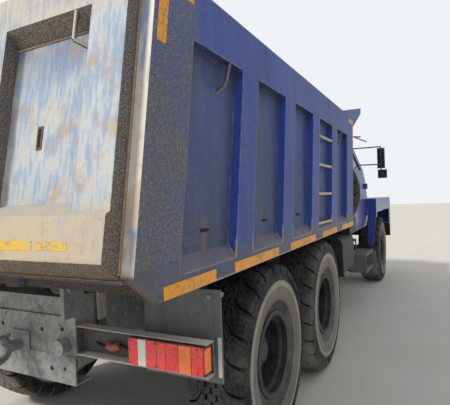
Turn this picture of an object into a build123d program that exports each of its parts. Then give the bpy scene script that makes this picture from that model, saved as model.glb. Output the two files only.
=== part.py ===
from build123d import *
from math import atan2, cos, degrees, hypot, radians, sin
import os

os.makedirs("parts", exist_ok=True)

# The frame: +Z up, ground at zero, front of the truck towards -Y, its right-hand side at -X.
# Millimetres throughout.

# Wheels and axles
TYRE_R = 620
TYRE_W = 380
TRACK = 2000
WHEELBASE = 4500
TANDEM = 1400
REAR_AXLE_Y = 2740
RIM_HALF = 155
RIM_FLANGE_R = 282
BEAD_SEAT_R = 256
RIM_WELL_R = 240
RIM_SHEET = 10
DISC_INSET = 78
HUB_R = 112
HUB_FLANGE_R = 178
DRUM_R = 190
DRUM_START = 145
FRONT_DRUM_START = 66
SPINDLE_R = 45
RUN_FIT = 0.05
SEAT_GAP = 0.3
MOVE_GAP = 6
AXLE_TUBE_R = 72
DIFF_R = 185
FRONT_DIFF_R = 165
FRONT_TUBE_R = 55
KINGPIN_INSET = 170
KINGPIN_R = 25
STEER_ARM = 185
PINION_L = 330
THROUGH_L = 290
PINION_RISE = 40
ENGINE_FRONT_Y = -3940
GEARBOX_FRONT_Y = -2560
GEARBOX_REAR_Y = -1960
TRANSFER_FRONT_Y = -640
TRANSFER_REAR_Y = -240
TRANSFER_LOW_Z = 720

# Frame
RAIL_HALF = 430
RAIL_FLANGE = 80
RAIL_SHEET = 9
RAIL_LOW = 800
RAIL_TOP = 1060
FRAME_END_Y = 3770
SUB_TOP = 1180
SUB_W = 70
SUB_FRONT_Y = 500
REAR_BEAM_LOW = 710
REAR_BEAM_SPLIT = 860
REAR_BEAM_DEEP = 90

# Tipping body
BODY_HALF = 1250
BODY_INNER = 1190
BODY_SHEET = 8
BODY_LOW = 1300
BODY_TOP = 2610
LEAN = 0.18
BODY_REAR_Y = 4297
BODY_FRONT_Y = 250
FLOOR_TOP = 1404
FLOOR_SHEET = 12
LOW_RAIL_H = 80
LOW_RAIL_REAR_Y = 4122
SILL_RISE = 60
TOP_RAIL_H = 245
POST_W = 287
POST_FOOT_Z = 1415
RIB_W = 215
RIB_PITCH = 710
RIB_COUNT = 4
RIB_FIRST_Y = 3498
FRONT_POST_W = 370
RUNG_R = 13
RUNG_FIRST_Z = 1430
RUNG_PITCH = 260
RUNG_COUNT = 4
CANOPY_FRONT_Y = -609
CANOPY_TOP = 2854
CANOPY_LIP = 79
CANOPY_SIDE_REAR_Y = 660
HINGE_Y = 3800
HINGE_Z = 1250
HINGE_PIN_R = 30
HINGE_EYE_R = 50
LONG_IN = 330
LONG_OUT = 410
LONG_LOW = 1200
BEARER_W = 60

# Tailgate, in its own leaning plane: depth rearwards from the post face, height above ground
GATE_HALF = 1184
GATE_SHEET = 8
GATE_LOW = 1410
GATE_TOP = 2600
GATE_PAN = 70
GATE_BEAM = 90
STILE_W = 180
STILE_IN_X = 500
TOP_BEAM_FACE_Z = 2445
TOP_BEAM_ROOT_Z = 2375
LOW_BEAM_ROOT_Z = 1680
LOW_BEAM_TOP_Z = 1640
LOW_BEAM_FACE_Z = 1475
GATE_PIN_D = 30
GATE_PIN_Z = 2540
GATE_PIN_R = 18
GATE_EAR_R = 45

# Hoist
HOIST_Y = 840
HOIST_Z = 950
EYE_Y = 2940
EYE_Z = 1270
BARREL_R = 80
ROD_R = 40
BARREL_L = 1480
EYE_R = 38
EYE_HALF = 30
HOIST_PIN_R = 25

# Cab
CAB_REAR_Y = -710
CAB_FRONT_Y = -2020
CAB_LOW = 1130
CAB_WALL = 42
ROOF_TOP = 2720
ROOF_EDGE_Z = 2650
ROOF_HALF = 850
WAIST_Z = 2070
WAIST_HALF = 1045
SILL_HALF = 1085
SCREEN_BASE_Z = 1930
SCREEN_TOP_Y = -1790
SCREEN_TOP_Z = 2640
DOOR_REAR_Y = -890
DOOR_FRONT_Y = -1860
DOOR_LOW = 1190
DOOR_TOP = 2440
GLASS = 6
DOOR_PIN_R = 8
DOOR_PIN_X = 1108
DASH_DEEP = 260
COLUMN_X = 520
COLUMN_TILT = 35.5

# Front end
WING_TOP = 1590
WING_LOW = 810
WING_REAR_Y = -1950
WING_FRONT_Y = -4160
WING_HALF = 1240
WING_SHEET = 8
WING_IN = 700
ARCH_R = 760
BONNET_REAR_Y = -2062
BONNET_PIN_Y = -2045
BONNET_PIN_Z = 1945
BONNET_PIN_R = 6
BONNET_FRONT_Y = -4070
BONNET_TOP_REAR = 1930
BONNET_TOP_FRONT = 1800
BONNET_HALF_REAR = 760
BONNET_HALF_FRONT = 640
BONNET_SHEET = 25
GRILLE_W = 1240
GRILLE_LOW = 1120
GRILLE_TOP = 1780
BUMPER_LOW = 760
BUMPER_TOP = 1040
BUMPER_HALF = 1220
BUMPER_DEEP = 110

# Side equipment
MUFFLER_X = 600
MUFFLER_Z = 800
AIR_TANK_X = 610
AIR_TANK_Z = 960
AIR_TANK_R = 90
SPARE_X = -600
SPARE_Z = 1710
SPARE_Y = -455
TANK_OUT = 1200
TANK_IN = 760
TANK_LOW = 790
TANK_TOP = 1190
TANK_REAR_Y = 640
TANK_FRONT_Y = -20
STEP_OUT = 1215
STEP_IN = 960
STEP_REAR_Y = -920
STEP_FRONT_Y = -1600
STEP_UPPER_Z = 790
STEP_LOWER_Z = 550
STEP_THICK = 28
FLAP_Y = 3640
FLAP_IN = 790
FLAP_OUT = 1240
FLAP_TOP = 1245
FLAP_LOW = 800
FLAP_THICK = 10
FLAP_BAR_R = 12
LAMP_BAR_Y = 3765
LAMP_BAR_LOW = 875
LAMP_BAR_TOP = 1030
LAMP_BAR_OUT = 1236
LAMP_BAR_SHEET = 6

# Worked out from the values above
MID_AXLE_Y = REAR_AXLE_Y - TANDEM
FRONT_AXLE_Y = MID_AXLE_Y - WHEELBASE
AXLE_Z = TYRE_R
WHEEL_X = TRACK / 2
KINGPIN_X = WHEEL_X - KINGPIN_INSET
TAIL_Y = BODY_REAR_Y + GATE_BEAM - LEAN * (LOW_BEAM_FACE_Z - BODY_LOW)
BUMPER_FACE_Y = -TAIL_Y
TRUNNION_Y = (MID_AXLE_Y + REAR_AXLE_Y) / 2
HOIST_ANGLE = degrees(atan2(EYE_Z - HOIST_Z, EYE_Y - HOIST_Y))
HOIST_L = hypot(EYE_Z - HOIST_Z, EYE_Y - HOIST_Y)
DASH_REAR_Y = CAB_FRONT_Y + CAB_WALL + DASH_DEEP
COLUMN_TOP = (DASH_REAR_Y + 170, 1850)
COLUMN_DIR = (cos(radians(COLUMN_TILT)), sin(radians(COLUMN_TILT)))
SIDES = (("right", -1), ("left", 1))


def prism_x(points, x0, x1):
    plane = Plane(origin=(x0, 0, 0), x_dir=(0, 1, 0), z_dir=(1, 0, 0))
    return extrude(plane * make_face(Polyline(*points, close=True)), x1 - x0)


def prism_y(points, y0, y1):
    plane = Plane(origin=(0, y1, 0), x_dir=(1, 0, 0), z_dir=(0, -1, 0))
    return extrude(plane * make_face(Polyline(*points, close=True)), y1 - y0)


def prism_z(points, z0, z1):
    return extrude(Plane.XY.offset(z0) * make_face(Polyline(*points, close=True)), z1 - z0)


def block(x0, x1, y0, y1, z0, z1):
    return Pos((x0 + x1) / 2, (y0 + y1) / 2, (z0 + z1) / 2) * Box(abs(x1 - x0), abs(y1 - y0), abs(z1 - z0))


def rod_x(x0, x1, y, z, r):
    return Pos((x0 + x1) / 2, y, z) * Rot(0, 90, 0) * Cylinder(r, abs(x1 - x0))


def rod_y(y0, y1, x, z, r):
    return Pos(x, (y0 + y1) / 2, z) * Rot(90, 0, 0) * Cylinder(r, abs(y1 - y0))


def rod_z(z0, z1, x, y, r):
    return Pos(x, y, (z0 + z1) / 2) * Cylinder(r, abs(z1 - z0))


def bar(start, end, r):
    a = Vector(*start)
    b = Vector(*end)
    return extrude(Plane(origin=a, z_dir=b - a) * Circle(r), (b - a).length)


def mirrored(solid):
    return mirror(solid, about=Plane.YZ)


def pair(solid):
    return [solid, mirrored(solid)]


def on_side(solid, side):
    return solid if side > 0 else mirrored(solid)


def lean_y(y_at_low, z):
    return y_at_low - LEAN * (z - BODY_LOW)


def leaning(y_low, width, z0, z1, x0, x1):
    corners = [(lean_y(y_low, z0), z0), (lean_y(y_low, z1), z1)]
    corners += [(lean_y(y_low - width, z1), z1), (lean_y(y_low - width, z0), z0)]
    return prism_x(corners, x0, x1)


def gate_point(depth, z):
    return (lean_y(BODY_REAR_Y + depth, z), z)


# Wheels: turned about X, with +X towards the outside of the truck
def tyre():
    half = TYRE_W / 2
    bead_x = RIM_HALF - 13 - SEAT_GAP
    seat = BEAD_SEAT_R + 3
    top = RIM_FLANGE_R + 3
    right = [
        Line((0, TYRE_R), (half * 0.62, TYRE_R - 5)),
        Line((half * 0.62, TYRE_R - 5), (half - 22, TYRE_R - 26)),
        ThreePointArc((half - 22, TYRE_R - 26), (half, TYRE_R - 190), (bead_x + 18, top + 22)),
        Line((bead_x + 18, top + 22), (bead_x, top)),
        Line((bead_x, top), (bead_x, seat)),
        Line((bead_x, seat), (bead_x - 34, seat)),
        Line((bead_x - 34, seat), (bead_x - 20, top + 10)),
        ThreePointArc((bead_x - 20, top + 10), (half - 18, TYRE_R - 190), (half - 48, TYRE_R - 62)),
        Line((half - 48, TYRE_R - 62), (0, TYRE_R - 38)),
        Line((0, TYRE_R - 38), (0, TYRE_R)),
    ]
    section = make_face(right)
    ring = revolve(section, Axis.X, 360)
    return ring + mirror(ring, about=Plane.YZ)


def rim():
    h = RIM_HALF
    f = RIM_FLANGE_R
    s = BEAD_SEAT_R
    w = RIM_WELL_R
    t = RIM_SHEET
    d = DISC_INSET
    barrel = [(-h, f), (-h + 13, f), (-h + 13, s + 2), (-h + 26, s - 2), (-h + 46, w), (h - 60, w)]
    barrel += [(h - 40, s - 2), (h - 13, s + 2), (h - 13, f), (h, f), (h, s - 8), (h - 36, s - 12)]
    barrel += [(h - 56, w - t), (-d, w - t), (-d + 18, w - 45), (-d + 18, HUB_R - 6), (-d + 4, HUB_R - 6)]
    barrel += [(-d + 4, w - 41), (-d - 14, w - t), (-h + 42, w - t), (-h + 24, s - 12), (-h, s - 8)]
    return revolve(make_face(Polyline(*barrel, close=True)), Axis.X, 360)


def hub(drum_start):
    back = -DISC_INSET + 5
    hole = SPINDLE_R + RUN_FIT
    profile = [(-drum_start, hole), (-drum_start, DRUM_R), (back - 8, DRUM_R), (back, HUB_FLANGE_R), (back, HUB_R)]
    profile += [(20, HUB_R), (32, HUB_R - 12), (60, 72), (78, 62), (78, 0), (-30, 0), (-30, hole)]
    return revolve(make_face(Polyline(*profile, close=True)), Axis.X, 360)


TYRE = tyre()
BARE_RIM = rim()
REAR_WHEEL = BARE_RIM + hub(DRUM_START)
FRONT_WHEEL = BARE_RIM + hub(FRONT_DRUM_START)


AXLE_TABLE = (
    ("front", FRONT_AXLE_Y, FRONT_WHEEL),
    ("middle", MID_AXLE_Y, REAR_WHEEL),
    ("rear", REAR_AXLE_Y, REAR_WHEEL),
)


def at_wheel(solid, side, y):
    return Pos(side * WHEEL_X, y, AXLE_Z) * on_side(solid, side)


def spindle():
    return rod_x(WHEEL_X - 150, WHEEL_X - 34, 0, AXLE_Z, SPINDLE_R)


# Chassis frame
def rail():
    web = block(RAIL_HALF - RAIL_SHEET, RAIL_HALF, BUMPER_FACE_Y + 130, FRAME_END_Y, RAIL_LOW, RAIL_TOP)
    top = block(RAIL_HALF - RAIL_FLANGE, RAIL_HALF, BUMPER_FACE_Y + 130, FRAME_END_Y, RAIL_TOP - RAIL_SHEET, RAIL_TOP)
    low = block(RAIL_HALF - RAIL_FLANGE, RAIL_HALF, BUMPER_FACE_Y + 130, FRAME_END_Y, RAIL_LOW, RAIL_LOW + RAIL_SHEET)
    return web + top + low


def cross_channel(y, z0, z1, deep):
    inner = RAIL_HALF - RAIL_SHEET
    web = block(-inner, inner, y - RAIL_SHEET, y, z0, z1)
    top = block(-inner, inner, y - deep, y, z1 - RAIL_SHEET, z1)
    low = block(-inner, inner, y - deep, y, z0, z0 + RAIL_SHEET)
    return web + top + low


def frame_rails():
    shape = rail()
    shape += mirrored(rail())
    for y, z0, z1, deep in CROSS_TABLE:
        shape += cross_channel(y, z0, z1, deep)
    end = FRAME_END_Y
    upper = block(-RAIL_HALF, RAIL_HALF, end, end + 12, REAR_BEAM_SPLIT, RAIL_TOP + 10)
    lower = block(-RAIL_HALF, RAIL_HALF, end - REAR_BEAM_DEEP, end + 22, REAR_BEAM_LOW, REAR_BEAM_SPLIT)
    lower -= block(-RAIL_HALF - 1, RAIL_HALF + 1, end - REAR_BEAM_DEEP, end + 14, REAR_BEAM_LOW + 8, REAR_BEAM_SPLIT - 8)
    shape += upper + lower
    for x, z, r in HOLE_TABLE:
        for side in (-1, 1):
            shape -= rod_y(end - 20, end + 40, side * x, z, r)
    bumpstop = rod_y(end + 12, end + 72, RAIL_HALF - 70, REAR_BEAM_SPLIT + 60, 38)
    shape += bumpstop + mirrored(bumpstop)
    for side in (-1, 1):
        ear = block(side * 62, side * 82, HOIST_Y - 50, HOIST_Y + 50, HOIST_Z - 90, HOIST_Z + 50)
        shape += ear
    shape += block(-RAIL_HALF + 9, RAIL_HALF - 9, HOIST_Y - 60, HOIST_Y + 60, HOIST_Z - 130, HOIST_Z - 75)
    shape += rod_x(-82, 82, HOIST_Y, HOIST_Z, HOIST_PIN_R)
    shape += tow_hook()
    return shape


def tow_hook():
    y = FRAME_END_Y + 12
    z = (REAR_BEAM_SPLIT + RAIL_TOP) / 2 - 70
    plate = block(-75, 75, y - 2, y + 14, z - 75, z + 75)
    shank = rod_y(y, y + 90, 0, z, 32)
    hook = Pos(0, y + 150, z) * Rot(0, 90, 0) * Torus(58, 24)
    gap = Pos(0, y + 150, z + 62) * Box(80, 60, 60)
    latch = block(-14, 14, y + 80, y + 175, z + 58, z + 80)
    return plate + shank + (hook - gap) + latch


CROSS_TABLE = [
    (-4020, 830, 1030, 70),
    (-1500, 820, 910, 70),
    (320, 820, 930, 70),
    (TRUNNION_Y + 90, 820, 990, 160),
    (3300, 830, 1030, 70),
]
HOLE_TABLE = [
    (330, 1000, 13),
    (170, 985, 13),
    (300, 935, 9),
    (250, 780, 14),
    (350, 790, 10),
]


def tipping_subframe():
    side_x = RAIL_HALF + SEAT_GAP
    beam = block(RAIL_HALF - SUB_W, side_x, SUB_FRONT_Y, FRAME_END_Y - SEAT_GAP, RAIL_TOP + SEAT_GAP, SUB_TOP)
    hanger = prism_x(
        [(HINGE_Y - 150, RAIL_TOP + 20), (HINGE_Y + 60, RAIL_TOP + 20), (HINGE_Y + 60, HINGE_Z), (HINGE_Y - 45, HINGE_Z)],
        LONG_OUT + 5, LONG_OUT + 30)
    hanger += rod_x(LONG_OUT + 5, LONG_OUT + 30, HINGE_Y, HINGE_Z, 55)
    pin = rod_x(LONG_IN, LONG_OUT + 50, HINGE_Y, HINGE_Z, HINGE_PIN_R)
    pin += rod_x(LONG_OUT + 30, LONG_OUT + 48, HINGE_Y, HINGE_Z, 42)
    one = beam + hanger + pin
    for y in (700, 1500, 2300, 3100):
        one += block(side_x, side_x + 12, y - 60, y + 60, RAIL_TOP - 120, RAIL_TOP + 90)
    tie = block(-RAIL_HALF, RAIL_HALF, FRAME_END_Y - 60, FRAME_END_Y - SEAT_GAP, RAIL_TOP + 12, SUB_TOP - 10)
    tie_front = block(-RAIL_HALF, RAIL_HALF, SUB_FRONT_Y, SUB_FRONT_Y + 70, RAIL_TOP + 12, SUB_TOP - 10)
    return one + mirrored(one) + tie + tie_front


def front_bumper():
    y0 = BUMPER_FACE_Y
    y1 = y0 + BUMPER_DEEP
    face = [(-BUMPER_HALF, y1 + 60), (-BUMPER_HALF, y0 + 90), (-BUMPER_HALF + 130, y0), (BUMPER_HALF - 130, y0)]
    face += [(BUMPER_HALF, y0 + 90), (BUMPER_HALF, y1 + 60)]
    back = [(x * (BUMPER_HALF - 9) / BUMPER_HALF, y + 9) for x, y in face]
    skin = prism_z(face, BUMPER_LOW, BUMPER_TOP) - prism_z(back + [(0, y1 + 200)], BUMPER_LOW + 9, BUMPER_TOP - 9)
    skin -= block(-BUMPER_HALF, BUMPER_HALF, y1 + 20, y1 + 80, BUMPER_LOW - 5, BUMPER_TOP + 5)
    for side in (-1, 1):
        skin += block(side * (RAIL_HALF - RAIL_SHEET), side * (RAIL_HALF - 60), y0 + 5, y0 + 130, BUMPER_LOW + 60, BUMPER_TOP - 20)
        hook = Pos(side * 600, y0 + 65, BUMPER_TOP + 15) * Rot(0, 90, 0) * Torus(45, 16)
        skin += hook
    return skin


def wing():
    top = [(WING_REAR_Y, WING_TOP), (WING_FRONT_Y + 60, WING_TOP), (WING_FRONT_Y, WING_TOP - 60)]
    top += [(WING_FRONT_Y, WING_LOW + 240), (WING_REAR_Y, WING_LOW)]
    solid = prism_x(top, WING_IN, WING_HALF)
    solid -= prism_x([(y + (WING_SHEET if y < -3000 else -WING_SHEET), z - WING_SHEET if z > 1400 else z - 200)
                      for y, z in top], WING_IN - 1, WING_HALF - WING_SHEET)
    solid -= block(WING_IN - 5, WING_HALF + 5, FRONT_AXLE_Y - ARCH_R, WING_REAR_Y - 90, WING_LOW - 50, WING_TOP - 230)
    solid += block(WING_IN, WING_IN + WING_SHEET, WING_FRONT_Y, CAB_FRONT_Y, RAIL_TOP - 70, WING_TOP)
    solid -= rod_x(WING_IN - 5, WING_HALF + 5, FRONT_AXLE_Y, AXLE_Z, ARCH_R)
    for y in (FRONT_AXLE_Y - ARCH_R - 120, FRONT_AXLE_Y + ARCH_R + 80):
        solid += block(RAIL_HALF + SEAT_GAP, WING_IN + 5, y, y + 40, RAIL_TOP - 70, RAIL_TOP - 20)
    solid -= block(WING_IN - 5, SILL_HALF + 15, CAB_FRONT_Y - SEAT_GAP, WING_REAR_Y + 5, WING_LOW - 50, WING_TOP + 5)
    taper = [(WING_HALF + 5, WING_TOP - 200), (WING_HALF + 5, WING_LOW - 5), (WING_HALF - 60, WING_LOW - 5)]
    solid -= prism_y(taper, WING_REAR_Y - 120, WING_REAR_Y + 5)
    return solid


def headlamp():
    x = WING_IN + 220
    z = WING_TOP - 240
    return rod_y(WING_FRONT_Y - 46, WING_FRONT_Y - SEAT_GAP, x, z, 105)


def radiator_grille():
    y0 = BONNET_FRONT_Y - 40
    half = GRILLE_W / 2
    frame = block(-half, half, y0, y0 + 40 - MOVE_GAP, GRILLE_LOW, GRILLE_TOP)
    frame -= block(-half + 50, half - 50, y0 - 1, y0 + 60, GRILLE_LOW + 50, GRILLE_TOP - 50)
    bars = 12
    step = (GRILLE_W - 100) / (bars + 1)
    for i in range(bars):
        x = -half + 50 + step * (i + 1)
        frame += block(x - 9, x + 9, y0 + 4, y0 + 30, GRILLE_LOW + 40, GRILLE_TOP - 40)
    feet = block(-RAIL_HALF + 20, RAIL_HALF - 20, y0 + 4, y0 + 30, RAIL_TOP, GRILLE_LOW)
    return frame + feet


def cab_section(inset):
    w = SILL_HALF - inset
    z0 = CAB_LOW + inset
    lines = [
        Line((-w + 20, z0), (w - 20, z0)),
        Line((w - 20, z0), (w, z0 + 120)),
        ThreePointArc((w, z0 + 120), (w + 2, 1650), (WAIST_HALF - inset, WAIST_Z)),
        Line((WAIST_HALF - inset, WAIST_Z), (ROOF_HALF - inset, ROOF_EDGE_Z - inset)),
        ThreePointArc((ROOF_HALF - inset, ROOF_EDGE_Z - inset), (0, ROOF_TOP - inset), (-ROOF_HALF + inset, ROOF_EDGE_Z - inset)),
        Line((-ROOF_HALF + inset, ROOF_EDGE_Z - inset), (-WAIST_HALF + inset, WAIST_Z)),
        ThreePointArc((-WAIST_HALF + inset, WAIST_Z), (-w - 2, 1650), (-w, z0 + 120)),
        Line((-w, z0 + 120), (-w + 20, z0)),
    ]
    plane = Plane(origin=(0, 0, 0), x_dir=(1, 0, 0), z_dir=(0, -1, 0))
    return plane * make_face(lines)


def cab_block(inset):
    along = extrude(cab_section(inset), 2600)
    side = [(CAB_REAR_Y - inset, CAB_LOW + inset), (CAB_REAR_Y - inset, ROOF_TOP - inset), (SCREEN_TOP_Y + inset, ROOF_TOP - inset)]
    side += [(SCREEN_TOP_Y + inset, SCREEN_TOP_Z - inset), (CAB_FRONT_Y + 20 + inset, SCREEN_BASE_Z - inset * 0.2)]
    side += [(CAB_FRONT_Y + inset, SCREEN_BASE_Z - 30 - inset * 0.2), (CAB_FRONT_Y + inset, CAB_LOW + inset)]
    return along & prism_x(side, -1300, 1300)


def door_outline(grow):
    pts = [(DOOR_REAR_Y + grow, DOOR_LOW - grow), (DOOR_REAR_Y + grow, DOOR_TOP + grow)]
    pts += [(-1690 - grow, DOOR_TOP + grow), (-1800 - grow, WAIST_Z), (DOOR_FRONT_Y - grow, 1960), (DOOR_FRONT_Y - grow, DOOR_LOW - grow)]
    return pts


def door_window(grow):
    pts = [(-950 + grow, 2060 - grow), (-950 + grow, 2390 + grow), (-1650 - grow, 2390 + grow), (-1750 - grow, 2060 - grow)]
    return pts


CAB_OUT = cab_block(0)
CAB_IN = cab_block(CAB_WALL)
CAB_RING = CAB_OUT - CAB_IN
SCREEN_HOLE = [(-880, 2010), (880, 2010), (770, 2560), (-770, 2560)]
REAR_HOLE = [(-420, 2080), (420, 2080), (400, 2430), (-400, 2430)]
HINGE_ZS = (1360, 1800)


def cab_shell():
    shape = CAB_RING
    for side in (-1, 1):
        shape -= prism_x(door_outline(MOVE_GAP), *sorted((side * 700, side * 1300)))
    shape -= prism_y(SCREEN_HOLE, CAB_FRONT_Y - 50, SCREEN_TOP_Y + 60)
    shape -= prism_y(REAR_HOLE, CAB_REAR_Y - 60, CAB_REAR_Y + 50)
    for side in (-1, 1):
        for z in HINGE_ZS:
            shape += cab_hinge(side, z)
    arm = bar((-ROOF_HALF + 30, -1660, 2625), (-1075, -1660, 2600), 11)
    arm += prism_y([(-990, 2585), (-985, 2600), (-1160, 2522), (-1160, 2507)], -1740, -1580)
    feet = block(-RAIL_HALF + 20, RAIL_HALF - 20, -1950, -1850, RAIL_TOP, CAB_LOW + 5)
    feet += block(-RAIL_HALF + 20, RAIL_HALF - 20, -900, -800, RAIL_TOP, CAB_LOW + 5)
    return shape + arm + feet


def cab_hinge(side, z):
    y = DOOR_FRONT_Y - 12
    x = side * DOOR_PIN_X
    lugs = rod_z(z - 45, z - 20, x, y, 15) + rod_z(z + 20, z + 45, x, y, 15)
    arms = block(side * (SILL_HALF - 25), x, y - 15, y - 2, z - 45, z - 20)
    arms += block(side * (SILL_HALF - 25), x, y - 15, y - 2, z + 20, z + 45)
    return lugs + arms + rod_z(z - 45, z + 45, x, y, DOOR_PIN_R)


def door(side):
    x0, x1 = sorted((side * 700, side * 1300))
    shape = CAB_RING & prism_x(door_outline(0), x0, x1)
    shape -= prism_x(door_window(0), x0, x1)
    y = DOOR_FRONT_Y - 12
    for z in HINGE_ZS:
        barrel = rod_z(z - 19, z + 19, side * DOOR_PIN_X, y, 15)
        barrel += block(side * (SILL_HALF - 25), side * DOOR_PIN_X, y + 13, y + 30, z - 19, z + 19)
        barrel += block(side * (DOOR_PIN_X - 10), side * (DOOR_PIN_X + 10), y + 3, y + 25, z - 19, z + 19)
        shape += barrel - rod_z(z - 25, z + 25, side * DOOR_PIN_X, y, DOOR_PIN_R + RUN_FIT)
    arms = bar((side * 1000, -1760, 2150), (side * 1345, -1905, 2150), 10)
    arms += bar((side * 935, -1680, 2420), (side * 1345, -1905, 2440), 10)
    arms += rod_z(1940, 2440, side * 1345, -1905, 10)
    upper = block(side * 1287, side * 1403, -1935, -1905, 2085, 2420)
    lower = block(side * 1290, side * 1430, -1935, -1905, 1925, 2065)
    handle = block(side * 1050, side * 1100, -1080, -960, 1890, 1912)
    return shape + arms + upper + lower + handle


def door_glass(side):
    x0, x1 = sorted((side * 700, side * 1300))
    skin = cab_block(CAB_WALL / 2 - GLASS / 2) - cab_block(CAB_WALL / 2 + GLASS / 2)
    return skin & prism_x(door_window(-SEAT_GAP), x0, x1)


def cab_glass():
    skin = cab_block(CAB_WALL / 2 - GLASS / 2) - cab_block(CAB_WALL / 2 + GLASS / 2)
    g = SEAT_GAP
    front = [(-880 + g, 2010 + g), (880 - g, 2010 + g), (770 - g, 2560 - g), (-770 + g, 2560 - g)]
    rear = [(-420 + g, 2080 + g), (420 - g, 2080 + g), (400 - g, 2430 - g), (-400 + g, 2430 - g)]
    screen = skin & prism_y(front, CAB_FRONT_Y - 50, SCREEN_TOP_Y + 60)
    back = skin & prism_y(rear, CAB_REAR_Y - 60, CAB_REAR_Y + 50)
    return [screen, back]


def seats():
    base_z = CAB_LOW + CAB_WALL + SEAT_GAP
    out = []
    for x0, x1 in ((260, 780), (-780, 140)):
        seat = block(x0, x1, -1330, -850, base_z, base_z + 330)
        seat += block(x0, x1, -900, -790, base_z + 330, base_z + 950)
        out.append(seat)
    return out


def dashboard():
    y = CAB_FRONT_Y + CAB_WALL + SEAT_GAP
    front = DASH_REAR_Y
    profile = [(y, 1560), (front, 1600), (front, 1830), (y + 30, 1870), (y, 1870)]
    shape = prism_x(profile, -960, 960)
    shape += bar((COLUMN_X, front - 40, COLUMN_TOP[1] - 210 * COLUMN_DIR[1] / COLUMN_DIR[0]), (COLUMN_X, *COLUMN_TOP), 22)
    return shape


def steering_wheel():
    along = Vector(0, *COLUMN_DIR)
    centre = Vector(COLUMN_X, *COLUMN_TOP) + along * (10 + SEAT_GAP)
    ring = Torus(235, 14) + Box(450, 34, 12) + Cylinder(50, 20)
    return Plane(origin=centre, x_dir=(1, 0, 0), z_dir=along) * ring


def bonnet():
    s = BONNET_SHEET
    rear = [(-BONNET_HALF_REAR, WING_TOP + 5), (-BONNET_HALF_REAR + 40, BONNET_TOP_REAR - 70), (-BONNET_HALF_REAR + 150, BONNET_TOP_REAR)]
    rear += [(-x, z) for x, z in reversed(rear)]
    front = [(-BONNET_HALF_FRONT, WING_TOP + 5), (-BONNET_HALF_FRONT + 30, BONNET_TOP_FRONT - 60), (-BONNET_HALF_FRONT + 120, BONNET_TOP_FRONT)]
    front += [(-x, z) for x, z in reversed(front)]

    def face(points, y):
        plane = Plane(origin=(0, y, 0), x_dir=(1, 0, 0), z_dir=(0, -1, 0))
        return plane * make_face(Polyline(*points, close=True))

    def inner(points):
        out = []
        for x, z in points:
            low = z < WING_TOP + 50
            out.append((x - s * (1 if x > 0 else -1), z - (60 if low else s)))
        return out

    outer = loft([face(rear, BONNET_REAR_Y), face(front, BONNET_FRONT_Y)])
    hollow = loft([face(inner(rear), BONNET_REAR_Y + 1), face(inner(front), BONNET_FRONT_Y + s)])
    shape = outer - hollow
    eye = rod_x(240, 300, BONNET_PIN_Y, BONNET_PIN_Z, 12)
    eye += block(240, 300, BONNET_REAR_Y - 30, BONNET_PIN_Y, BONNET_TOP_REAR - 9, BONNET_PIN_Z)
    eye -= rod_x(235, 305, BONNET_PIN_Y, BONNET_PIN_Z, BONNET_PIN_R + RUN_FIT)
    return shape + eye + mirrored(eye)


def bonnet_pins():
    out = rod_x(225, 315, BONNET_PIN_Y, BONNET_PIN_Z, BONNET_PIN_R)
    for x in (229, 311):
        out += prism_x([
            (BONNET_PIN_Y - 9, BONNET_PIN_Z - 9), (BONNET_PIN_Y - 9, BONNET_PIN_Z + 9), (BONNET_PIN_Y + 9, BONNET_PIN_Z + 9),
            (CAB_FRONT_Y + 15, SCREEN_BASE_Z - 40), (CAB_FRONT_Y + 15, SCREEN_BASE_Z - 80), (CAB_FRONT_Y - 10, SCREEN_BASE_Z - 60)], x - 5, x + 5)
    return out + mirrored(out)


# Running gear
def axle(y, diff_r, tube_r, reach, diff_shift):
    tube = rod_x(-reach, reach, y, AXLE_Z, tube_r)
    half = diff_r + 40
    profile = [(-half, 0), (-half, tube_r + 8), (-diff_r * 0.55, diff_r * 0.86), (-diff_r * 0.2, diff_r), (diff_r * 0.2, diff_r)]
    profile += [(diff_r * 0.55, diff_r * 0.86), (half, tube_r + 8), (half, 0)]
    bowl = Pos(0, y - diff_shift, AXLE_Z) * revolve(make_face(Polyline(*profile, close=True)), Axis.X, 360)
    return tube + bowl


def axles():
    out = []
    for y in (MID_AXLE_Y, REAR_AXLE_Y):
        shape = axle(y, DIFF_R, AXLE_TUBE_R, WHEEL_X - 150, 0)
        shape += rod_y(y - PINION_L, y - 100, 0, AXLE_Z + PINION_RISE, 70)
        if y == MID_AXLE_Y:
            shape += rod_y(y + 100, y + THROUGH_L, 0, AXLE_Z + PINION_RISE, 60)
        for side in (-1, 1):
            stub = Pos(0, y, 0) * spindle()
            plate = rod_x(WHEEL_X - 168, WHEEL_X - 152, y, AXLE_Z, 205)
            shape += on_side(stub + plate, side)
            pad = block(505, 615, y - 80, y + 80, AXLE_Z, AXLE_Z + AXLE_TUBE_R + 20)
            shape += on_side(pad, side)
        out.append(shape)
    y = FRONT_AXLE_Y
    front = axle(y, FRONT_DIFF_R, FRONT_TUBE_R, KINGPIN_X - 20, 30)
    front += rod_y(y + 90, y + THROUGH_L, 0, AXLE_Z + PINION_RISE, 60)
    for side in (-1, 1):
        knob = block(KINGPIN_X - 45, KINGPIN_X + 45, y - 45, y + 45, AXLE_Z - 82, AXLE_Z + 82)
        knob += rod_z(AXLE_Z - 116, AXLE_Z + 116, KINGPIN_X, y, KINGPIN_R)
        pad = block(380, 480, y - 80, y + 80, AXLE_Z, AXLE_Z + FRONT_TUBE_R + 10)
        front += on_side(knob + pad, side)
    out.append(front)
    return out


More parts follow.
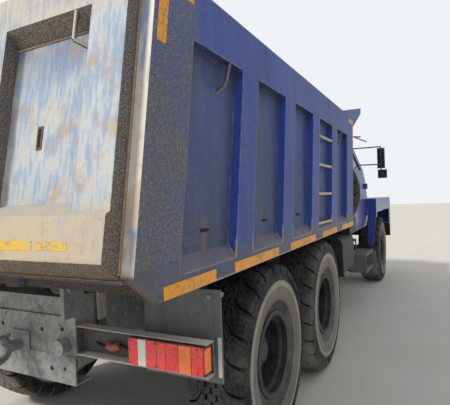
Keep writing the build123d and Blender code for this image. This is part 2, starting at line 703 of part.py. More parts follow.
def knuckle(side):
    y = FRONT_AXLE_Y
    x = KINGPIN_X
    top = AXLE_Z + 116
    low = AXLE_Z - 116
    shape = block(x - 45, x + 95, y - 50, y + 50, AXLE_Z + 86, top)
    shape += block(x - 45, x + 95, y - 50, y + 50, low, AXLE_Z - 86)
    shape += block(x + 72, x + 95, y - 60, y + 60, low, top)
    shape += Pos(0, y, 0) * rod_x(x + 80, WHEEL_X - 34, 0, AXLE_Z, SPINDLE_R)
    ball_z = AXLE_Z - 40
    arm = prism_z([(x + 60, y + 30), (x + 95, y + 30), (x + 95, y + 60), (x + 30, y + STEER_ARM + 30), (x - 30, y + STEER_ARM + 30),
                   (x - 30, y + STEER_ARM - 30), (x + 40, y + STEER_ARM - 60)], ball_z - 62, ball_z - 40)
    shape += arm
    shape += block(x + 72, x + 95, y + 30, y + 60, ball_z - 62, ball_z)
    shape += rod_z(ball_z - 50, ball_z + 24, x, y + STEER_ARM, 12)
    shape -= rod_z(low - 1, top + 1, x, y, KINGPIN_R + RUN_FIT)
    return on_side(shape, side)


def tie_rod():
    y = FRONT_AXLE_Y + STEER_ARM
    z = AXLE_Z - 40
    shape = rod_x(-KINGPIN_X, KINGPIN_X, y, z, 16)
    for side in (-1, 1):
        shape += rod_z(z - 18, z + 18, side * KINGPIN_X, y, 26)
    for side in (-1, 1):
        shape -= rod_z(z - 30, z + 30, side * KINGPIN_X, y, 12 + RUN_FIT)
    return shape


def leaf_pack(x, y, z_seat, lengths, thick, rise, width):
    shape = None
    for i, length in enumerate(lengths):
        z = z_seat + i * thick
        h = length / 2
        bow = rise * (h / (lengths[-1] / 2)) ** 2
        low = ThreePointArc((y - h, z + bow), (y, z), (y + h, z + bow))
        high = ThreePointArc((y - h, z + bow + thick), (y, z + thick), (y + h, z + bow + thick))
        ends = [Line((y - h, z + bow), (y - h, z + bow + thick)), Line((y + h, z + bow), (y + h, z + bow + thick))]
        plane = Plane(origin=(x - width / 2, 0, 0), x_dir=(0, 1, 0), z_dir=(1, 0, 0))
        leaf = extrude(plane * make_face([low, high] + ends), width)
        shape = leaf if shape is None else shape + leaf
    return shape


def leaf_springs():
    out = []
    thick = 14
    front_x = RAIL_HALF - 5
    seat = AXLE_Z + FRONT_TUBE_R + 10 + SEAT_GAP
    lengths = (560, 760, 960, 1160, 1360)
    rise = RAIL_LOW - seat - thick * len(lengths) - 34
    pack = leaf_pack(front_x, FRONT_AXLE_Y, seat, lengths, thick, rise, 80)
    for end in (-1, 1):
        y = FRONT_AXLE_Y + end * 680
        pack += block(front_x - 40, front_x + 40, y - 40, y + 40, RAIL_LOW - 46, RAIL_LOW - SEAT_GAP)
    for y in (FRONT_AXLE_Y - 60, FRONT_AXLE_Y + 60):
        pack += block(front_x - 48, front_x + 48, y - 9, y + 9, seat, seat + thick * len(lengths) + 14)
    out += pair(pack)
    seat = AXLE_Z + AXLE_TUBE_R + 20 + SEAT_GAP
    rear = None
    lengths = (1480, 1400, 1180, 960, 740, 520)
    x = 560
    crown = 46
    for i, length in enumerate(lengths):
        z = seat + i * thick
        h = length / 2
        drop = crown * (h / (lengths[0] / 2)) ** 2
        low = ThreePointArc((TRUNNION_Y - h, z + crown - drop), (TRUNNION_Y, z + crown), (TRUNNION_Y + h, z + crown - drop))
        top = ThreePointArc((TRUNNION_Y - h, z + crown - drop + thick), (TRUNNION_Y, z + crown + thick), (TRUNNION_Y + h, z + crown - drop + thick))
        sides = [Line((TRUNNION_Y - h, z + crown - drop), (TRUNNION_Y - h, z + crown - drop + thick)),
                 Line((TRUNNION_Y + h, z + crown - drop), (TRUNNION_Y + h, z + crown - drop + thick))]
        plane = Plane(origin=(x - 45, 0, 0), x_dir=(0, 1, 0), z_dir=(1, 0, 0))
        leaf = extrude(plane * make_face([low, top] + sides), 90)
        rear = leaf if rear is None else rear + leaf
    clamp = block(x - 60, x + 60, TRUNNION_Y - 90, TRUNNION_Y + 90, seat + crown - 60, seat + crown)
    clamp += rod_x(RAIL_HALF + SEAT_GAP, x + 70, TRUNNION_Y, seat + crown - 60, 62)
    clamp += prism_x([(TRUNNION_Y - 120, RAIL_LOW + 120), (TRUNNION_Y + 120, RAIL_LOW + 120), (TRUNNION_Y + 60, seat + crown - 120),
                      (TRUNNION_Y - 60, seat + crown - 120)], RAIL_HALF + SEAT_GAP, RAIL_HALF + 40)
    for y in (TRUNNION_Y - 70, TRUNNION_Y + 70):
        clamp += block(x - 52, x + 52, y - 9, y + 9, seat + crown - 20, seat + crown + thick * len(lengths) + 12)
    out += pair(rear + clamp)
    return out


def propeller_shaft(start, end, r):
    shape = rod_y(start[0], start[0] + 14, 0, start[1], r + 26)
    shape += rod_y(end[0] - 14, end[0], 0, end[1], r + 26)
    return shape + bar((0, start[0] + 10, start[1]), (0, end[0] - 10, end[1]), r)


def drive_line():
    engine = block(-330, 330, ENGINE_FRONT_Y, GEARBOX_FRONT_Y, 840, 1540)
    gearbox = block(-190, 190, GEARBOX_FRONT_Y - 1, GEARBOX_REAR_Y, 860, 1100)
    transfer = block(-200, 200, TRANSFER_FRONT_Y, TRANSFER_REAR_Y, 640, 1000)
    for side in (-1, 1):
        transfer += block(side * 190, side * (RAIL_HALF - RAIL_SHEET - SEAT_GAP), -480, -400, 880, 960)
        engine += block(side * 320, side * (RAIL_HALF - RAIL_SHEET - SEAT_GAP), -3300, -3200, 900, 1000)
    g = SEAT_GAP
    low = TRANSFER_LOW_Z
    axle_in = AXLE_Z + PINION_RISE
    out = [engine + gearbox, transfer]
    out.append(propeller_shaft((GEARBOX_REAR_Y + g, 960), (TRANSFER_FRONT_Y - g, 960), 36))
    out.append(propeller_shaft((TRANSFER_REAR_Y + g, low), (MID_AXLE_Y - PINION_L - g, axle_in), 42))
    out.append(propeller_shaft((MID_AXLE_Y + THROUGH_L + g, axle_in), (REAR_AXLE_Y - PINION_L - g, axle_in), 42))
    out.append(propeller_shaft((FRONT_AXLE_Y + THROUGH_L + g, axle_in), (TRANSFER_FRONT_Y - g, low), 36))
    return out


def exhaust_and_air_tanks():
    x = MUFFLER_X
    z = MUFFLER_Z
    muffler = rod_y(-1500, -760, x, z, 100)
    muffler += rod_y(-1900, -1500, x, z, 42)
    muffler += rod_y(-760, -420, x, z, 42)
    muffler += block(RAIL_HALF + SEAT_GAP, x, -1200, -1160, z + 10, z + 70)
    out = [muffler]
    for side in (-1, 1):
        tank = rod_y(-150, 560, AIR_TANK_X, AIR_TANK_Z, AIR_TANK_R)
        tank += block(RAIL_HALF + SEAT_GAP, AIR_TANK_X, 180, 220, AIR_TANK_Z - 30, AIR_TANK_Z + 60)
        out.append(on_side(tank, side))
    return out


def side_tank(side):
    r = 90
    lines = [
        Line((TANK_IN, TANK_LOW), (TANK_OUT, TANK_LOW)),
        Line((TANK_OUT, TANK_LOW), (TANK_OUT, TANK_TOP - r)),
        ThreePointArc((TANK_OUT, TANK_TOP - r), (TANK_OUT - r * 0.293, TANK_TOP - r * 0.293), (TANK_OUT - r, TANK_TOP)),
        Line((TANK_OUT - r, TANK_TOP), (TANK_IN, TANK_TOP)),
        Line((TANK_IN, TANK_TOP), (TANK_IN, TANK_LOW)),
    ]
    plane = Plane(origin=(0, TANK_REAR_Y, 0), x_dir=(1, 0, 0), z_dir=(0, -1, 0))
    shape = extrude(plane * make_face(lines), TANK_REAR_Y - TANK_FRONT_Y)
    for y in (TANK_FRONT_Y + 130, TANK_REAR_Y - 130):
        shape += block(RAIL_HALF + SEAT_GAP, TANK_OUT - 20, y - 25, y + 25, TANK_LOW - 60, TANK_LOW)
        shape += block(RAIL_HALF + SEAT_GAP, RAIL_HALF + 50, y - 25, y + 25, TANK_LOW - 60, 1000)
    return on_side(shape, side)


def tool_box(side):
    shape = block(1000, TANK_OUT, -230, 190, TANK_TOP + SEAT_GAP, 1380)
    return on_side(shape, side)


def cab_steps(side):
    shape = None
    for z in (STEP_UPPER_Z, STEP_LOWER_Z):
        tread = block(STEP_IN, STEP_OUT, STEP_FRONT_Y, STEP_REAR_Y, z - STEP_THICK, z)
        tread -= block(STEP_IN + 25, STEP_OUT - 25, STEP_FRONT_Y + 25, STEP_REAR_Y - 25, z - STEP_THICK - 1, z + 1)
        for i in range(6):
            x = STEP_IN + 25 + (STEP_OUT - STEP_IN - 50) * (i + 0.5) / 6
            tread += block(x - 6, x + 6, STEP_FRONT_Y + 20, STEP_REAR_Y - 20, z - STEP_THICK, z - 4)
        shape = tread if shape is None else shape + tread
    for y in (STEP_FRONT_Y - 12, STEP_REAR_Y):
        shape += block(STEP_IN, STEP_OUT, y, y + 12, STEP_LOWER_Z - STEP_THICK, STEP_UPPER_Z)
    shape += block(STEP_OUT - 10, STEP_OUT + 35, STEP_FRONT_Y - 60, STEP_FRONT_Y - 12, 390, 750)
    shape += block(STEP_OUT - 60, STEP_OUT - 10, STEP_FRONT_Y - 60, STEP_FRONT_Y - 12, 560, 750)
    for y in (STEP_FRONT_Y + 60, STEP_REAR_Y - 100):
        shape += block(RAIL_HALF + SEAT_GAP, STEP_IN + 12, y, y + 40, STEP_UPPER_Z + 125, STEP_UPPER_Z + 170)
        shape += block(STEP_IN - 2, STEP_IN + 12, y, y + 40, STEP_UPPER_Z - STEP_THICK, STEP_UPPER_Z + 170)
    return on_side(shape, side)


def spare_wheel():
    shape = Pos(SPARE_X, SPARE_Y, SPARE_Z) * Rot(0, 0, 90) * BARE_RIM
    y1 = SPARE_Y - TYRE_W / 2 - 12
    y0 = CAB_REAR_Y + MOVE_GAP
    disc_y = SPARE_Y - DISC_INSET
    carrier = block(SPARE_X - 60, SPARE_X + 60, y0, y1, RAIL_TOP + 40, SPARE_Z + 90)
    carrier += block(SPARE_X - 60, RAIL_HALF, y0, y1, RAIL_TOP + SEAT_GAP, RAIL_TOP + 90)
    carrier += rod_y(y0, disc_y + 10, SPARE_X, SPARE_Z, 60)
    carrier += rod_y(disc_y - 5, disc_y + 5, SPARE_X, SPARE_Z, HUB_FLANGE_R)
    return shape + carrier


def spare_tyre():
    return Pos(SPARE_X, SPARE_Y, SPARE_Z) * Rot(0, 0, 90) * TYRE


def lamp_bracket(side):
    y1 = LAMP_BAR_Y + 15
    y0 = y1 - 60
    s = LAMP_BAR_SHEET
    bar_shape = block(RAIL_HALF + SEAT_GAP, LAMP_BAR_OUT, y0, y1, LAMP_BAR_LOW, LAMP_BAR_TOP)
    bar_shape -= block(RAIL_HALF + s, LAMP_BAR_OUT + 1, y0 + s, y1 + 1, LAMP_BAR_LOW + s, LAMP_BAR_TOP - s)
    flap_bar = rod_x(RAIL_HALF + SEAT_GAP, FLAP_OUT, FLAP_Y - FLAP_BAR_R - SEAT_GAP, FLAP_TOP - 25, FLAP_BAR_R)
    stay = block(RAIL_HALF + 13, RAIL_HALF + 30, FLAP_Y - 60, FLAP_Y - 5, RAIL_TOP - 160, FLAP_TOP - 10)
    stay += block(RAIL_HALF + SEAT_GAP, RAIL_HALF + 30, FLAP_Y - 60, FLAP_Y - 5, RAIL_TOP - 160, RAIL_TOP - 130)
    return [on_side(bar_shape, side), on_side(flap_bar + stay, side)]


def tail_lamp(side):
    s = LAMP_BAR_SHEET + SEAT_GAP
    y1 = LAMP_BAR_Y + 15
    main = block(760, 1220, y1 - 54 + SEAT_GAP, y1 + 22, LAMP_BAR_LOW + s, LAMP_BAR_TOP - s)
    return on_side(main, side)


def mudflap(side):
    flap = block(FLAP_IN, FLAP_OUT, FLAP_Y, FLAP_Y + FLAP_THICK, FLAP_LOW, FLAP_TOP)
    return on_side(flap, side)


# Tipping body
def rib_low_y(index):
    return RIB_FIRST_Y - index * RIB_PITCH


def body_side():
    low = BODY_LOW
    sheet = prism_x([
        (lean_y(BODY_REAR_Y - GATE_SHEET - MOVE_GAP, FLOOR_TOP - FLOOR_SHEET), FLOOR_TOP - FLOOR_SHEET),
        (lean_y(BODY_REAR_Y - GATE_SHEET - MOVE_GAP, BODY_TOP), BODY_TOP),
        (lean_y(BODY_FRONT_Y, BODY_TOP), BODY_TOP),
        (lean_y(BODY_FRONT_Y, FLOOR_TOP - FLOOR_SHEET), FLOOR_TOP - FLOOR_SHEET)], BODY_INNER, BODY_INNER + BODY_SHEET)
    shape = sheet
    shape += leaning(BODY_FRONT_Y + FRONT_POST_W, FRONT_POST_W, low, BODY_TOP, BODY_INNER, BODY_HALF)
    post = [(LOW_RAIL_REAR_Y, low), gate_point(0, POST_FOOT_Z), gate_point(0, BODY_TOP)]
    post += [gate_point(-POST_W, BODY_TOP), gate_point(-POST_W, low)]
    shape += prism_x(post, BODY_INNER, BODY_HALF)
    for i in range(RIB_COUNT):
        shape += leaning(rib_low_y(i), RIB_W, low + LOW_RAIL_H, BODY_TOP, BODY_INNER, BODY_HALF)
    top = leaning(BODY_REAR_Y, BODY_REAR_Y - BODY_FRONT_Y, BODY_TOP - TOP_RAIL_H, BODY_TOP, BODY_INNER, BODY_HALF)
    shape += top
    rail_y = lean_y(BODY_FRONT_Y, low)
    shape += block(BODY_INNER - 60, BODY_HALF, rail_y, LOW_RAIL_REAR_Y, low, low + LOW_RAIL_H)
    sill = [(BODY_INNER, low + LOW_RAIL_H), (BODY_HALF, low + LOW_RAIL_H), (BODY_INNER + BODY_SHEET, low + LOW_RAIL_H + SILL_RISE), (BODY_INNER, low + LOW_RAIL_H + SILL_RISE)]
    shape += prism_y(sill, rail_y, LOW_RAIL_REAR_Y - 60)
    ear = leaning(BODY_REAR_Y + GATE_PIN_D, GATE_PIN_D + 20, GATE_PIN_Z - 60, BODY_TOP, 1200, 1242)
    ear += rod_x(1200, 1242, *gate_point(GATE_PIN_D, GATE_PIN_Z), GATE_EAR_R)
    shape += ear
    shape -= rod_x(1180, 1260, *gate_point(GATE_PIN_D, GATE_PIN_Z), GATE_PIN_R + RUN_FIT)
    side = [(CANOPY_SIDE_REAR_Y, BODY_TOP - 5), (CANOPY_FRONT_Y, CANOPY_TOP), (CANOPY_FRONT_Y + 16, CANOPY_TOP - CANOPY_LIP)]
    side += [(lean_y(BODY_FRONT_Y + 10, BODY_TOP - 110), BODY_TOP - 110), (lean_y(BODY_FRONT_Y + 10, BODY_TOP - 60), BODY_TOP - 60)]
    shape += prism_x(side, BODY_HALF - BODY_SHEET, BODY_HALF)
    return shape


def rungs():
    shape = None
    for i in range(RUNG_COUNT):
        z = RUNG_FIRST_Z + i * RUNG_PITCH
        y1 = lean_y(rib_low_y(2) - RIB_W, z) + 10
        y0 = lean_y(rib_low_y(3), z) - 10
        rung = rod_y(y0, y1, -(BODY_HALF - RUNG_R - 2), z, RUNG_R)
        shape = rung if shape is None else shape + rung
    return shape


def tipping_body():
    side = body_side()
    shape = side + mirrored(side)
    floor_rear = lean_y(BODY_REAR_Y, FLOOR_TOP)
    floor_front = lean_y(BODY_FRONT_Y, FLOOR_TOP)
    shape += block(-BODY_INNER - 4, BODY_INNER + 4, floor_front, floor_rear, FLOOR_TOP - FLOOR_SHEET, FLOOR_TOP)
    shape += leaning(BODY_FRONT_Y + 60, BODY_SHEET, FLOOR_TOP - 5, BODY_TOP, -BODY_INNER - 4, BODY_INNER + 4)
    for x in (-700, 0, 700):
        shape += leaning(BODY_FRONT_Y + 56, 56, FLOOR_TOP - 5, BODY_TOP, x - 60, x + 60)
    shape += leaning(BODY_FRONT_Y + 56, 56, BODY_TOP - 120, BODY_TOP, -BODY_INNER - 4, BODY_INNER + 4)
    sheet = [(lean_y(BODY_FRONT_Y + 40, BODY_TOP), BODY_TOP - 8), (CANOPY_FRONT_Y, CANOPY_TOP - 8), (CANOPY_FRONT_Y, CANOPY_TOP), (lean_y(BODY_FRONT_Y + 40, BODY_TOP), BODY_TOP)]
    shape += prism_x(sheet, -BODY_HALF + 4, BODY_HALF - 4)
    lip = [(CANOPY_FRONT_Y, CANOPY_TOP), (CANOPY_FRONT_Y + 8, CANOPY_TOP - 2), (CANOPY_FRONT_Y + 24, CANOPY_TOP - CANOPY_LIP), (CANOPY_FRONT_Y + 16, CANOPY_TOP - CANOPY_LIP)]
    shape += prism_x(lip, -BODY_HALF, BODY_HALF)
    for i in range(RIB_COUNT + 1):
        y = rib_low_y(i) - RIB_W / 2
        shape += block(-BODY_INNER, BODY_INNER, y - BEARER_W / 2, y + BEARER_W / 2, BODY_LOW, FLOOR_TOP - FLOOR_SHEET)
    shape += block(-BODY_INNER, BODY_INNER, HINGE_Y + 200, HINGE_Y + 260, BODY_LOW, FLOOR_TOP - FLOOR_SHEET)
    for side_sign in (-1, 1):
        x0, x1 = sorted((side_sign * LONG_IN, side_sign * LONG_OUT))
        shape += block(x0, x1, 420, HINGE_Y, LONG_LOW, BODY_LOW)
        shape += block(x0, x1, 420, HINGE_Y + 300, BODY_LOW, FLOOR_TOP - FLOOR_SHEET)
        shape += rod_x(x0, x1, HINGE_Y, HINGE_Z, HINGE_EYE_R)
        shape -= rod_x(x0 - 1, x1 + 1, HINGE_Y, HINGE_Z, HINGE_PIN_R + RUN_FIT)
        ear = block(side_sign * (EYE_HALF + SEAT_GAP), side_sign * (EYE_HALF + 24), EYE_Y - 60, EYE_Y + 60, EYE_Z, FLOOR_TOP - FLOOR_SHEET)
        ear += rod_x(side_sign * (EYE_HALF + SEAT_GAP), side_sign * (EYE_HALF + 24), EYE_Y, EYE_Z, 60)
        ear += rod_x(side_sign * (EYE_HALF + 24), side_sign * (EYE_HALF + 44), EYE_Y, EYE_Z, HOIST_PIN_R)
        shape += ear
    return shape + rungs()


def tailgate():
    def gate_prism(points, x0, x1):
        return prism_x([gate_point(d, z) for d, z in points], x0, x1)

    plate = [(-GATE_SHEET, GATE_LOW), (-GATE_SHEET, GATE_TOP), (0, GATE_TOP), (0, GATE_LOW)]
    shape = gate_prism(plate, -GATE_HALF, GATE_HALF)
    top = [(0, TOP_BEAM_ROOT_Z), (GATE_PAN, TOP_BEAM_FACE_Z), (GATE_PAN, GATE_TOP), (0, GATE_TOP)]
    shape += gate_prism(top, -GATE_HALF, GATE_HALF)
    low = [(0, LOW_BEAM_ROOT_Z), (GATE_BEAM, LOW_BEAM_TOP_Z), (GATE_BEAM, LOW_BEAM_FACE_Z), (0, GATE_LOW)]
    shape += gate_prism(low, -GATE_HALF, GATE_HALF)
    stile = [(0, GATE_LOW), (0, GATE_TOP), (GATE_PAN, GATE_TOP), (GATE_PAN, LOW_BEAM_FACE_Z)]
    for x0, x1 in ((GATE_HALF - STILE_W, GATE_HALF), (STILE_IN_X - STILE_W, STILE_IN_X)):
        one = gate_prism(stile, x0, x1)
        shape += one + mirrored(one)
    pin = rod_x(GATE_HALF - 5, 1250, *gate_point(GATE_PIN_D, GATE_PIN_Z), GATE_PIN_R)
    shape += pin + mirrored(pin)
    handle_x = -GATE_HALF + STILE_W + 90
    start = gate_point(GATE_PAN - 10, TOP_BEAM_FACE_Z + 5)
    knee = gate_point(GATE_PAN - 10, 2320)
    foot = gate_point(4, 2275)
    shape += bar((handle_x, *start), (handle_x, *knee), 9)
    shape += bar((handle_x, *knee), (handle_x - 70, *foot), 9)
    return shape


# Hoist, along the line from its lower pivot to the body bracket
HOIST_PLANE = Plane(origin=(0, HOIST_Y, HOIST_Z), x_dir=(1, 0, 0), z_dir=(0, cos(radians(HOIST_ANGLE)), sin(radians(HOIST_ANGLE))))


def hoist_barrel():
    shape = Pos(0, 0, 80 + (BARREL_L - 80) / 2) * Cylinder(BARREL_R, BARREL_L - 80)
    shape += Pos(0, 0, 60) * Box(100, 90, 60)
    shape += Rot(0, 90, 0) * Cylinder(48, 100)
    shape -= Rot(0, 90, 0) * Cylinder(HOIST_PIN_R + RUN_FIT, 120)
    shape -= Pos(0, 0, 110 + BARREL_L / 2) * Cylinder(ROD_R + RUN_FIT, BARREL_L)
    shape += Pos(0, 0, BARREL_L + 10) * (Cylinder(BARREL_R + 12, 50) - Cylinder(ROD_R + RUN_FIT, 60))
    return HOIST_PLANE * shape


def hoist_rod():
    start = 140
    end = HOIST_L - 130
    shape = Pos(0, 0, (start + end) / 2) * Cylinder(ROD_R, end - start)
    shape += Pos(0, 0, HOIST_L - 75) * Box(EYE_HALF * 2, EYE_R * 1.6, 120)
    shape += Pos(0, 0, HOIST_L) * Rot(0, 90, 0) * Cylinder(EYE_R, EYE_HALF * 2)
    return HOIST_PLANE * shape


def save(name, shape):
    if isinstance(shape, list):
        shape = Compound(children=[s if isinstance(s, Solid) else Compound(s.solids()) for s in shape])
    export_step(shape, f"parts/{name}.step")


def build_all():
    save("frame_rails", frame_rails())
    save("tipping_subframe", tipping_subframe())
    save("front_bumper", front_bumper())
    save("radiator_grille", radiator_grille())
    save("front_wings", pair(wing()))
    save("cab_shell", cab_shell() + bonnet_pins())
    save("cab_glass", cab_glass())
    save("seats", seats())
    save("dashboard", dashboard())
    save("steering_wheel", steering_wheel())
    save("bonnet", bonnet())
    save("axles", axles())
    save("leaf_springs", leaf_springs())
    save("drive_line", drive_line())
    save("exhaust_and_air_tanks", exhaust_and_air_tanks())
    save("side_tanks", [side_tank(-1), side_tank(1)])
    save("tool_boxes", [tool_box(-1), tool_box(1)])
    save("cab_steps", [cab_steps(-1), cab_steps(1)])
    save("spare_wheel", spare_wheel())
    save("spare_tyre", spare_tyre())
    save("lamp_brackets", lamp_bracket(-1) + lamp_bracket(1))
    save("lamps", [tail_lamp(-1), tail_lamp(1)] + pair(headlamp()))
    save("mudflaps", [mudflap(-1), mudflap(1)])
    save("tipping_body", tipping_body())
    save("tailgate", tailgate())
    save("hoist_barrel", hoist_barrel())
    save("hoist_rod", hoist_rod())
    save("tie_rod", tie_rod())
    for name, side in SIDES:
        save(f"door_{name}", door(side))
        save(f"door_glass_{name}", door_glass(side))
        save(f"knuckle_{name}", knuckle(side))
        for place, y, wheel in AXLE_TABLE:
            save(f"tyre_{place}_{name}", at_wheel(TYRE, side, y))
            save(f"rim_{place}_{name}", at_wheel(wheel, side, y))


build_all()
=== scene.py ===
from math import cos, hypot, pi, radians, sin

import bmesh
import bpy
from mathutils import Matrix, Vector
from mathutils.geometry import convex_hull_2d


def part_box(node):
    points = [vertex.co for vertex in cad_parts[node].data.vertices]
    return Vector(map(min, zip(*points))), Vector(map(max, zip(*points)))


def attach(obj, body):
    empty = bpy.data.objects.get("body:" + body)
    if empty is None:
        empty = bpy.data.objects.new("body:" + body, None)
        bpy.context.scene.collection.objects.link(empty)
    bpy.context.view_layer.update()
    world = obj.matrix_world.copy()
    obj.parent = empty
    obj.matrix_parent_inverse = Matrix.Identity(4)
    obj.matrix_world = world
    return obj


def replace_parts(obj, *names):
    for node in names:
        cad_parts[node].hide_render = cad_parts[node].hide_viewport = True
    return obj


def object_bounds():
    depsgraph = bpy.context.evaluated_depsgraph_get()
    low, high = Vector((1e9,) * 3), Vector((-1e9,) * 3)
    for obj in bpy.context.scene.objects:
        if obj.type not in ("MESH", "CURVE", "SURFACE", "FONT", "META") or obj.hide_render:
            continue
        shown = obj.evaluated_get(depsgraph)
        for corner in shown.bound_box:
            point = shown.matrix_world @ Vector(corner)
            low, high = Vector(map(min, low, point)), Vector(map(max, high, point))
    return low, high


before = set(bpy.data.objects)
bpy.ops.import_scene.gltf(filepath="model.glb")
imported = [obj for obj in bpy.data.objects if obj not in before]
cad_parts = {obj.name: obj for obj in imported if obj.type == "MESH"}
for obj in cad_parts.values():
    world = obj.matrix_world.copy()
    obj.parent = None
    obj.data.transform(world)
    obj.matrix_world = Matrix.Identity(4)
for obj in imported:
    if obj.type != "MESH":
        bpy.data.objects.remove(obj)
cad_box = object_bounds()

# The yard. The truck stands on plain pale ground under an even sky, with a soft sun behind its left
# shoulder. The camera stands behind the right rear corner at standing height.
scene = bpy.context.scene
scene.view_settings.view_transform = "Standard"


def tint(*chart):
    """A paint-chart colour, 0 to 255, as the linear colour that a socket takes."""
    shares = [c / 255 for c in chart]
    return (*(c / 12.92 if c <= 0.04045 else ((c + 0.055) / 1.055) ** 2.4 for c in shares), 1.0)


def maths(operation, swapped=False):
    """A method of Level that adds one Math node."""
    def method(level, other=0.0):
        pair = (other, level) if swapped else (level, other)
        return level.nodes.node("ShaderNodeMath", {"operation": operation}, dict(enumerate(pair)))
    return method


class Level:
    """A number that varies over a surface, so that shader maths reads as Python."""

    __add__, __radd__ = maths("ADD"), maths("ADD", swapped=True)
    __sub__, __rsub__ = maths("SUBTRACT"), maths("SUBTRACT", swapped=True)
    __mul__, __rmul__ = maths("MULTIPLY"), maths("MULTIPLY", swapped=True)
    __abs__, up_to, at_least = maths("ABSOLUTE"), maths("MINIMUM"), maths("MAXIMUM")

    def __init__(self, nodes, socket):
        self.nodes = nodes
        self.socket = socket

    def held(self):
        """Kept between 0 and 1."""
        return self.at_least(0.0).up_to(1.0)

    def step(self, low, high):
        """0 at low, 1 at high, and a smooth rise between; low may be the larger of the two."""
        return self.nodes.node("ShaderNodeMapRange", {"interpolation_type": "SMOOTHSTEP"},
                               {"Value": self, "From Min": low, "From Max": high})


class Nodes:
    """A node tree, and the one way in which its nodes are made."""

    def __init__(self, tree):
        self.tree = tree

    def feed(self, socket, value):
        """Links a Level to a socket or sets its value; three numbers for a colour are a tint."""
        if isinstance(value, Level):
            self.tree.links.new(value.socket, socket)
        elif socket.type == "RGBA" and len(value) == 3:
            socket.default_value = tint(*value)
        else:
            socket.default_value = value

    def node(self, kind, settings=None, inputs=None, out=0):
        made = self.tree.nodes.new(kind)
        for key, value in (settings or {}).items():
            setattr(made, key, value)
        for key, value in (inputs or {}).items():
            self.feed(made.inputs[key], value)
        return Level(self, made.outputs[out])


class Finish(Nodes):
    """A surface finish under construction on one Principled shader."""

    def __init__(self, name, roughness=0.5, **shader):
        self.material = bpy.data.materials.new(name)
        self.material.use_nodes = True
        super().__init__(self.material.node_tree)
        self.shader = self.tree.nodes["Principled BSDF"]
        self.place = self.node("ShaderNodeTexCoord", out="Object")
        self.set("Roughness", roughness)
        for key, value in shader.items():
            self.set(key.replace("_", " "), value)

    def set(self, socket, value):
        self.feed(self.shader.inputs[socket], value)

    def xyz(self):
        return [self.node("ShaderNodeSeparateXYZ", inputs={0: self.place}, out=i) for i in "XYZ"]

    def facing(self, axis):
        """How far the surface faces along an axis: 1 along it, -1 against it."""
        normal = self.node("ShaderNodeNewGeometry", out="Normal")
        return self.node("ShaderNodeSeparateXYZ", inputs={0: normal}, out=axis)

    def grain(self, scale, detail=3.0, stretch=(1.0, 1.0, 1.0), roughness=0.55):
        """Natural unevenness, 0 to 1; a stretch below 1 draws it out along that axis."""
        place = self.node("ShaderNodeVectorMath", {"operation": "MULTIPLY"},
                          {0: self.place, 1: stretch})
        return self.node("ShaderNodeTexNoise", {}, {"Vector": place, "Scale": scale,
                                                    "Detail": detail, "Roughness": roughness})

    def bands(self, scale, distortion=0.0):
        """Fine ribs across X, as moulded flutes or a weave."""
        return self.node("ShaderNodeTexWave", {"wave_type": "BANDS", "bands_direction": "X"},
                         {"Vector": self.place, "Scale": scale, "Distortion": distortion},
                         out="Fac")

    def edges(self, width):
        """1 along the sharp edges of a sheet, 0 on its open faces."""
        soft = self.node("ShaderNodeBevel", {"samples": 4}, {"Radius": width})
        true = self.node("ShaderNodeNewGeometry", out="Normal")
        same = self.node("ShaderNodeVectorMath", {"operation": "DOT_PRODUCT"},
                         {0: soft, 1: true}, out="Value")
        return (1 - same).step(0.02, 0.16)

    def layer(self, mask, below, above):
        return self.node("ShaderNodeMix", {"data_type": "RGBA"}, {0: mask, 6: below, 7: above},
                         out=2)

    def layers(self, coat, *coats):
        """Lays coats over each other, each given as where it lies and its colour."""
        for mask, colour in coats:
            coat = self.layer(mask, coat, colour)
        return coat

    def relief(self, height, distance, strength=1.0):
        self.set("Normal", self.node("ShaderNodeBump", {}, {"Height": height, "Distance": distance,
                                                            "Strength": strength}))


def into_scene(name, data):
    """A new object in the scene, at the origin."""
    made = bpy.data.objects.new(name, data)
    scene.collection.objects.link(made)
    return made


ground = Finish("packed_ground", roughness=0.95)
pebbles = ground.grain(26, 4)
ground.set("Base Color", ground.layer(ground.grain(1.3, 4) * 0.7 + pebbles * 0.3,
                                      (212, 207, 196), (232, 228, 220)))
ground.relief(pebbles, 0.01, 0.4)
YARD = 60  # half its side
yard_mesh = bpy.data.meshes.new("yard")
yard_mesh.from_pydata([(-YARD, -YARD, 0), (YARD, -YARD, 0), (YARD, YARD, 0), (-YARD, YARD, 0)],
                      [], [(0, 1, 2, 3)])
yard_mesh.materials.append(ground.material)
into_scene("yard", yard_mesh)

sky = bpy.data.worlds.new("even_sky")
sky.use_nodes = True
sky.node_tree.nodes.remove(sky.node_tree.nodes["Background"])
air = Nodes(sky.node_tree)
lighting = air.node("ShaderNodeBackground", {}, {"Color": (0.93, 0.96, 1.0, 1.0),
                                                 "Strength": 0.62})
backdrop = air.node("ShaderNodeBackground", {}, {"Color": (0.86, 0.89, 0.93, 1.0),
                                                 "Strength": 1.0})
seen, seen_through = (air.node("ShaderNodeLightPath", out=f"Is {ray} Ray")
                      for ray in ("Camera", "Transmission"))
air.feed(sky.node_tree.nodes["World Output"].inputs["Surface"],
         air.node("ShaderNodeMixShader", {}, {0: (seen + seen_through).up_to(1.0), 1: lighting,
                                              2: backdrop}))
scene.world = sky

sun_data = bpy.data.lights.new("soft_sun", "SUN")
sun_data.energy = 2.1
sun_data.angle = radians(9)
sun_data.color = (1.0, 0.96, 0.9)
SUNBEAM = Vector((-0.62, -0.78, -0.82))
into_scene("soft_sun", sun_data).rotation_euler = SUNBEAM.to_track_quat("-Z", "Y").to_euler()

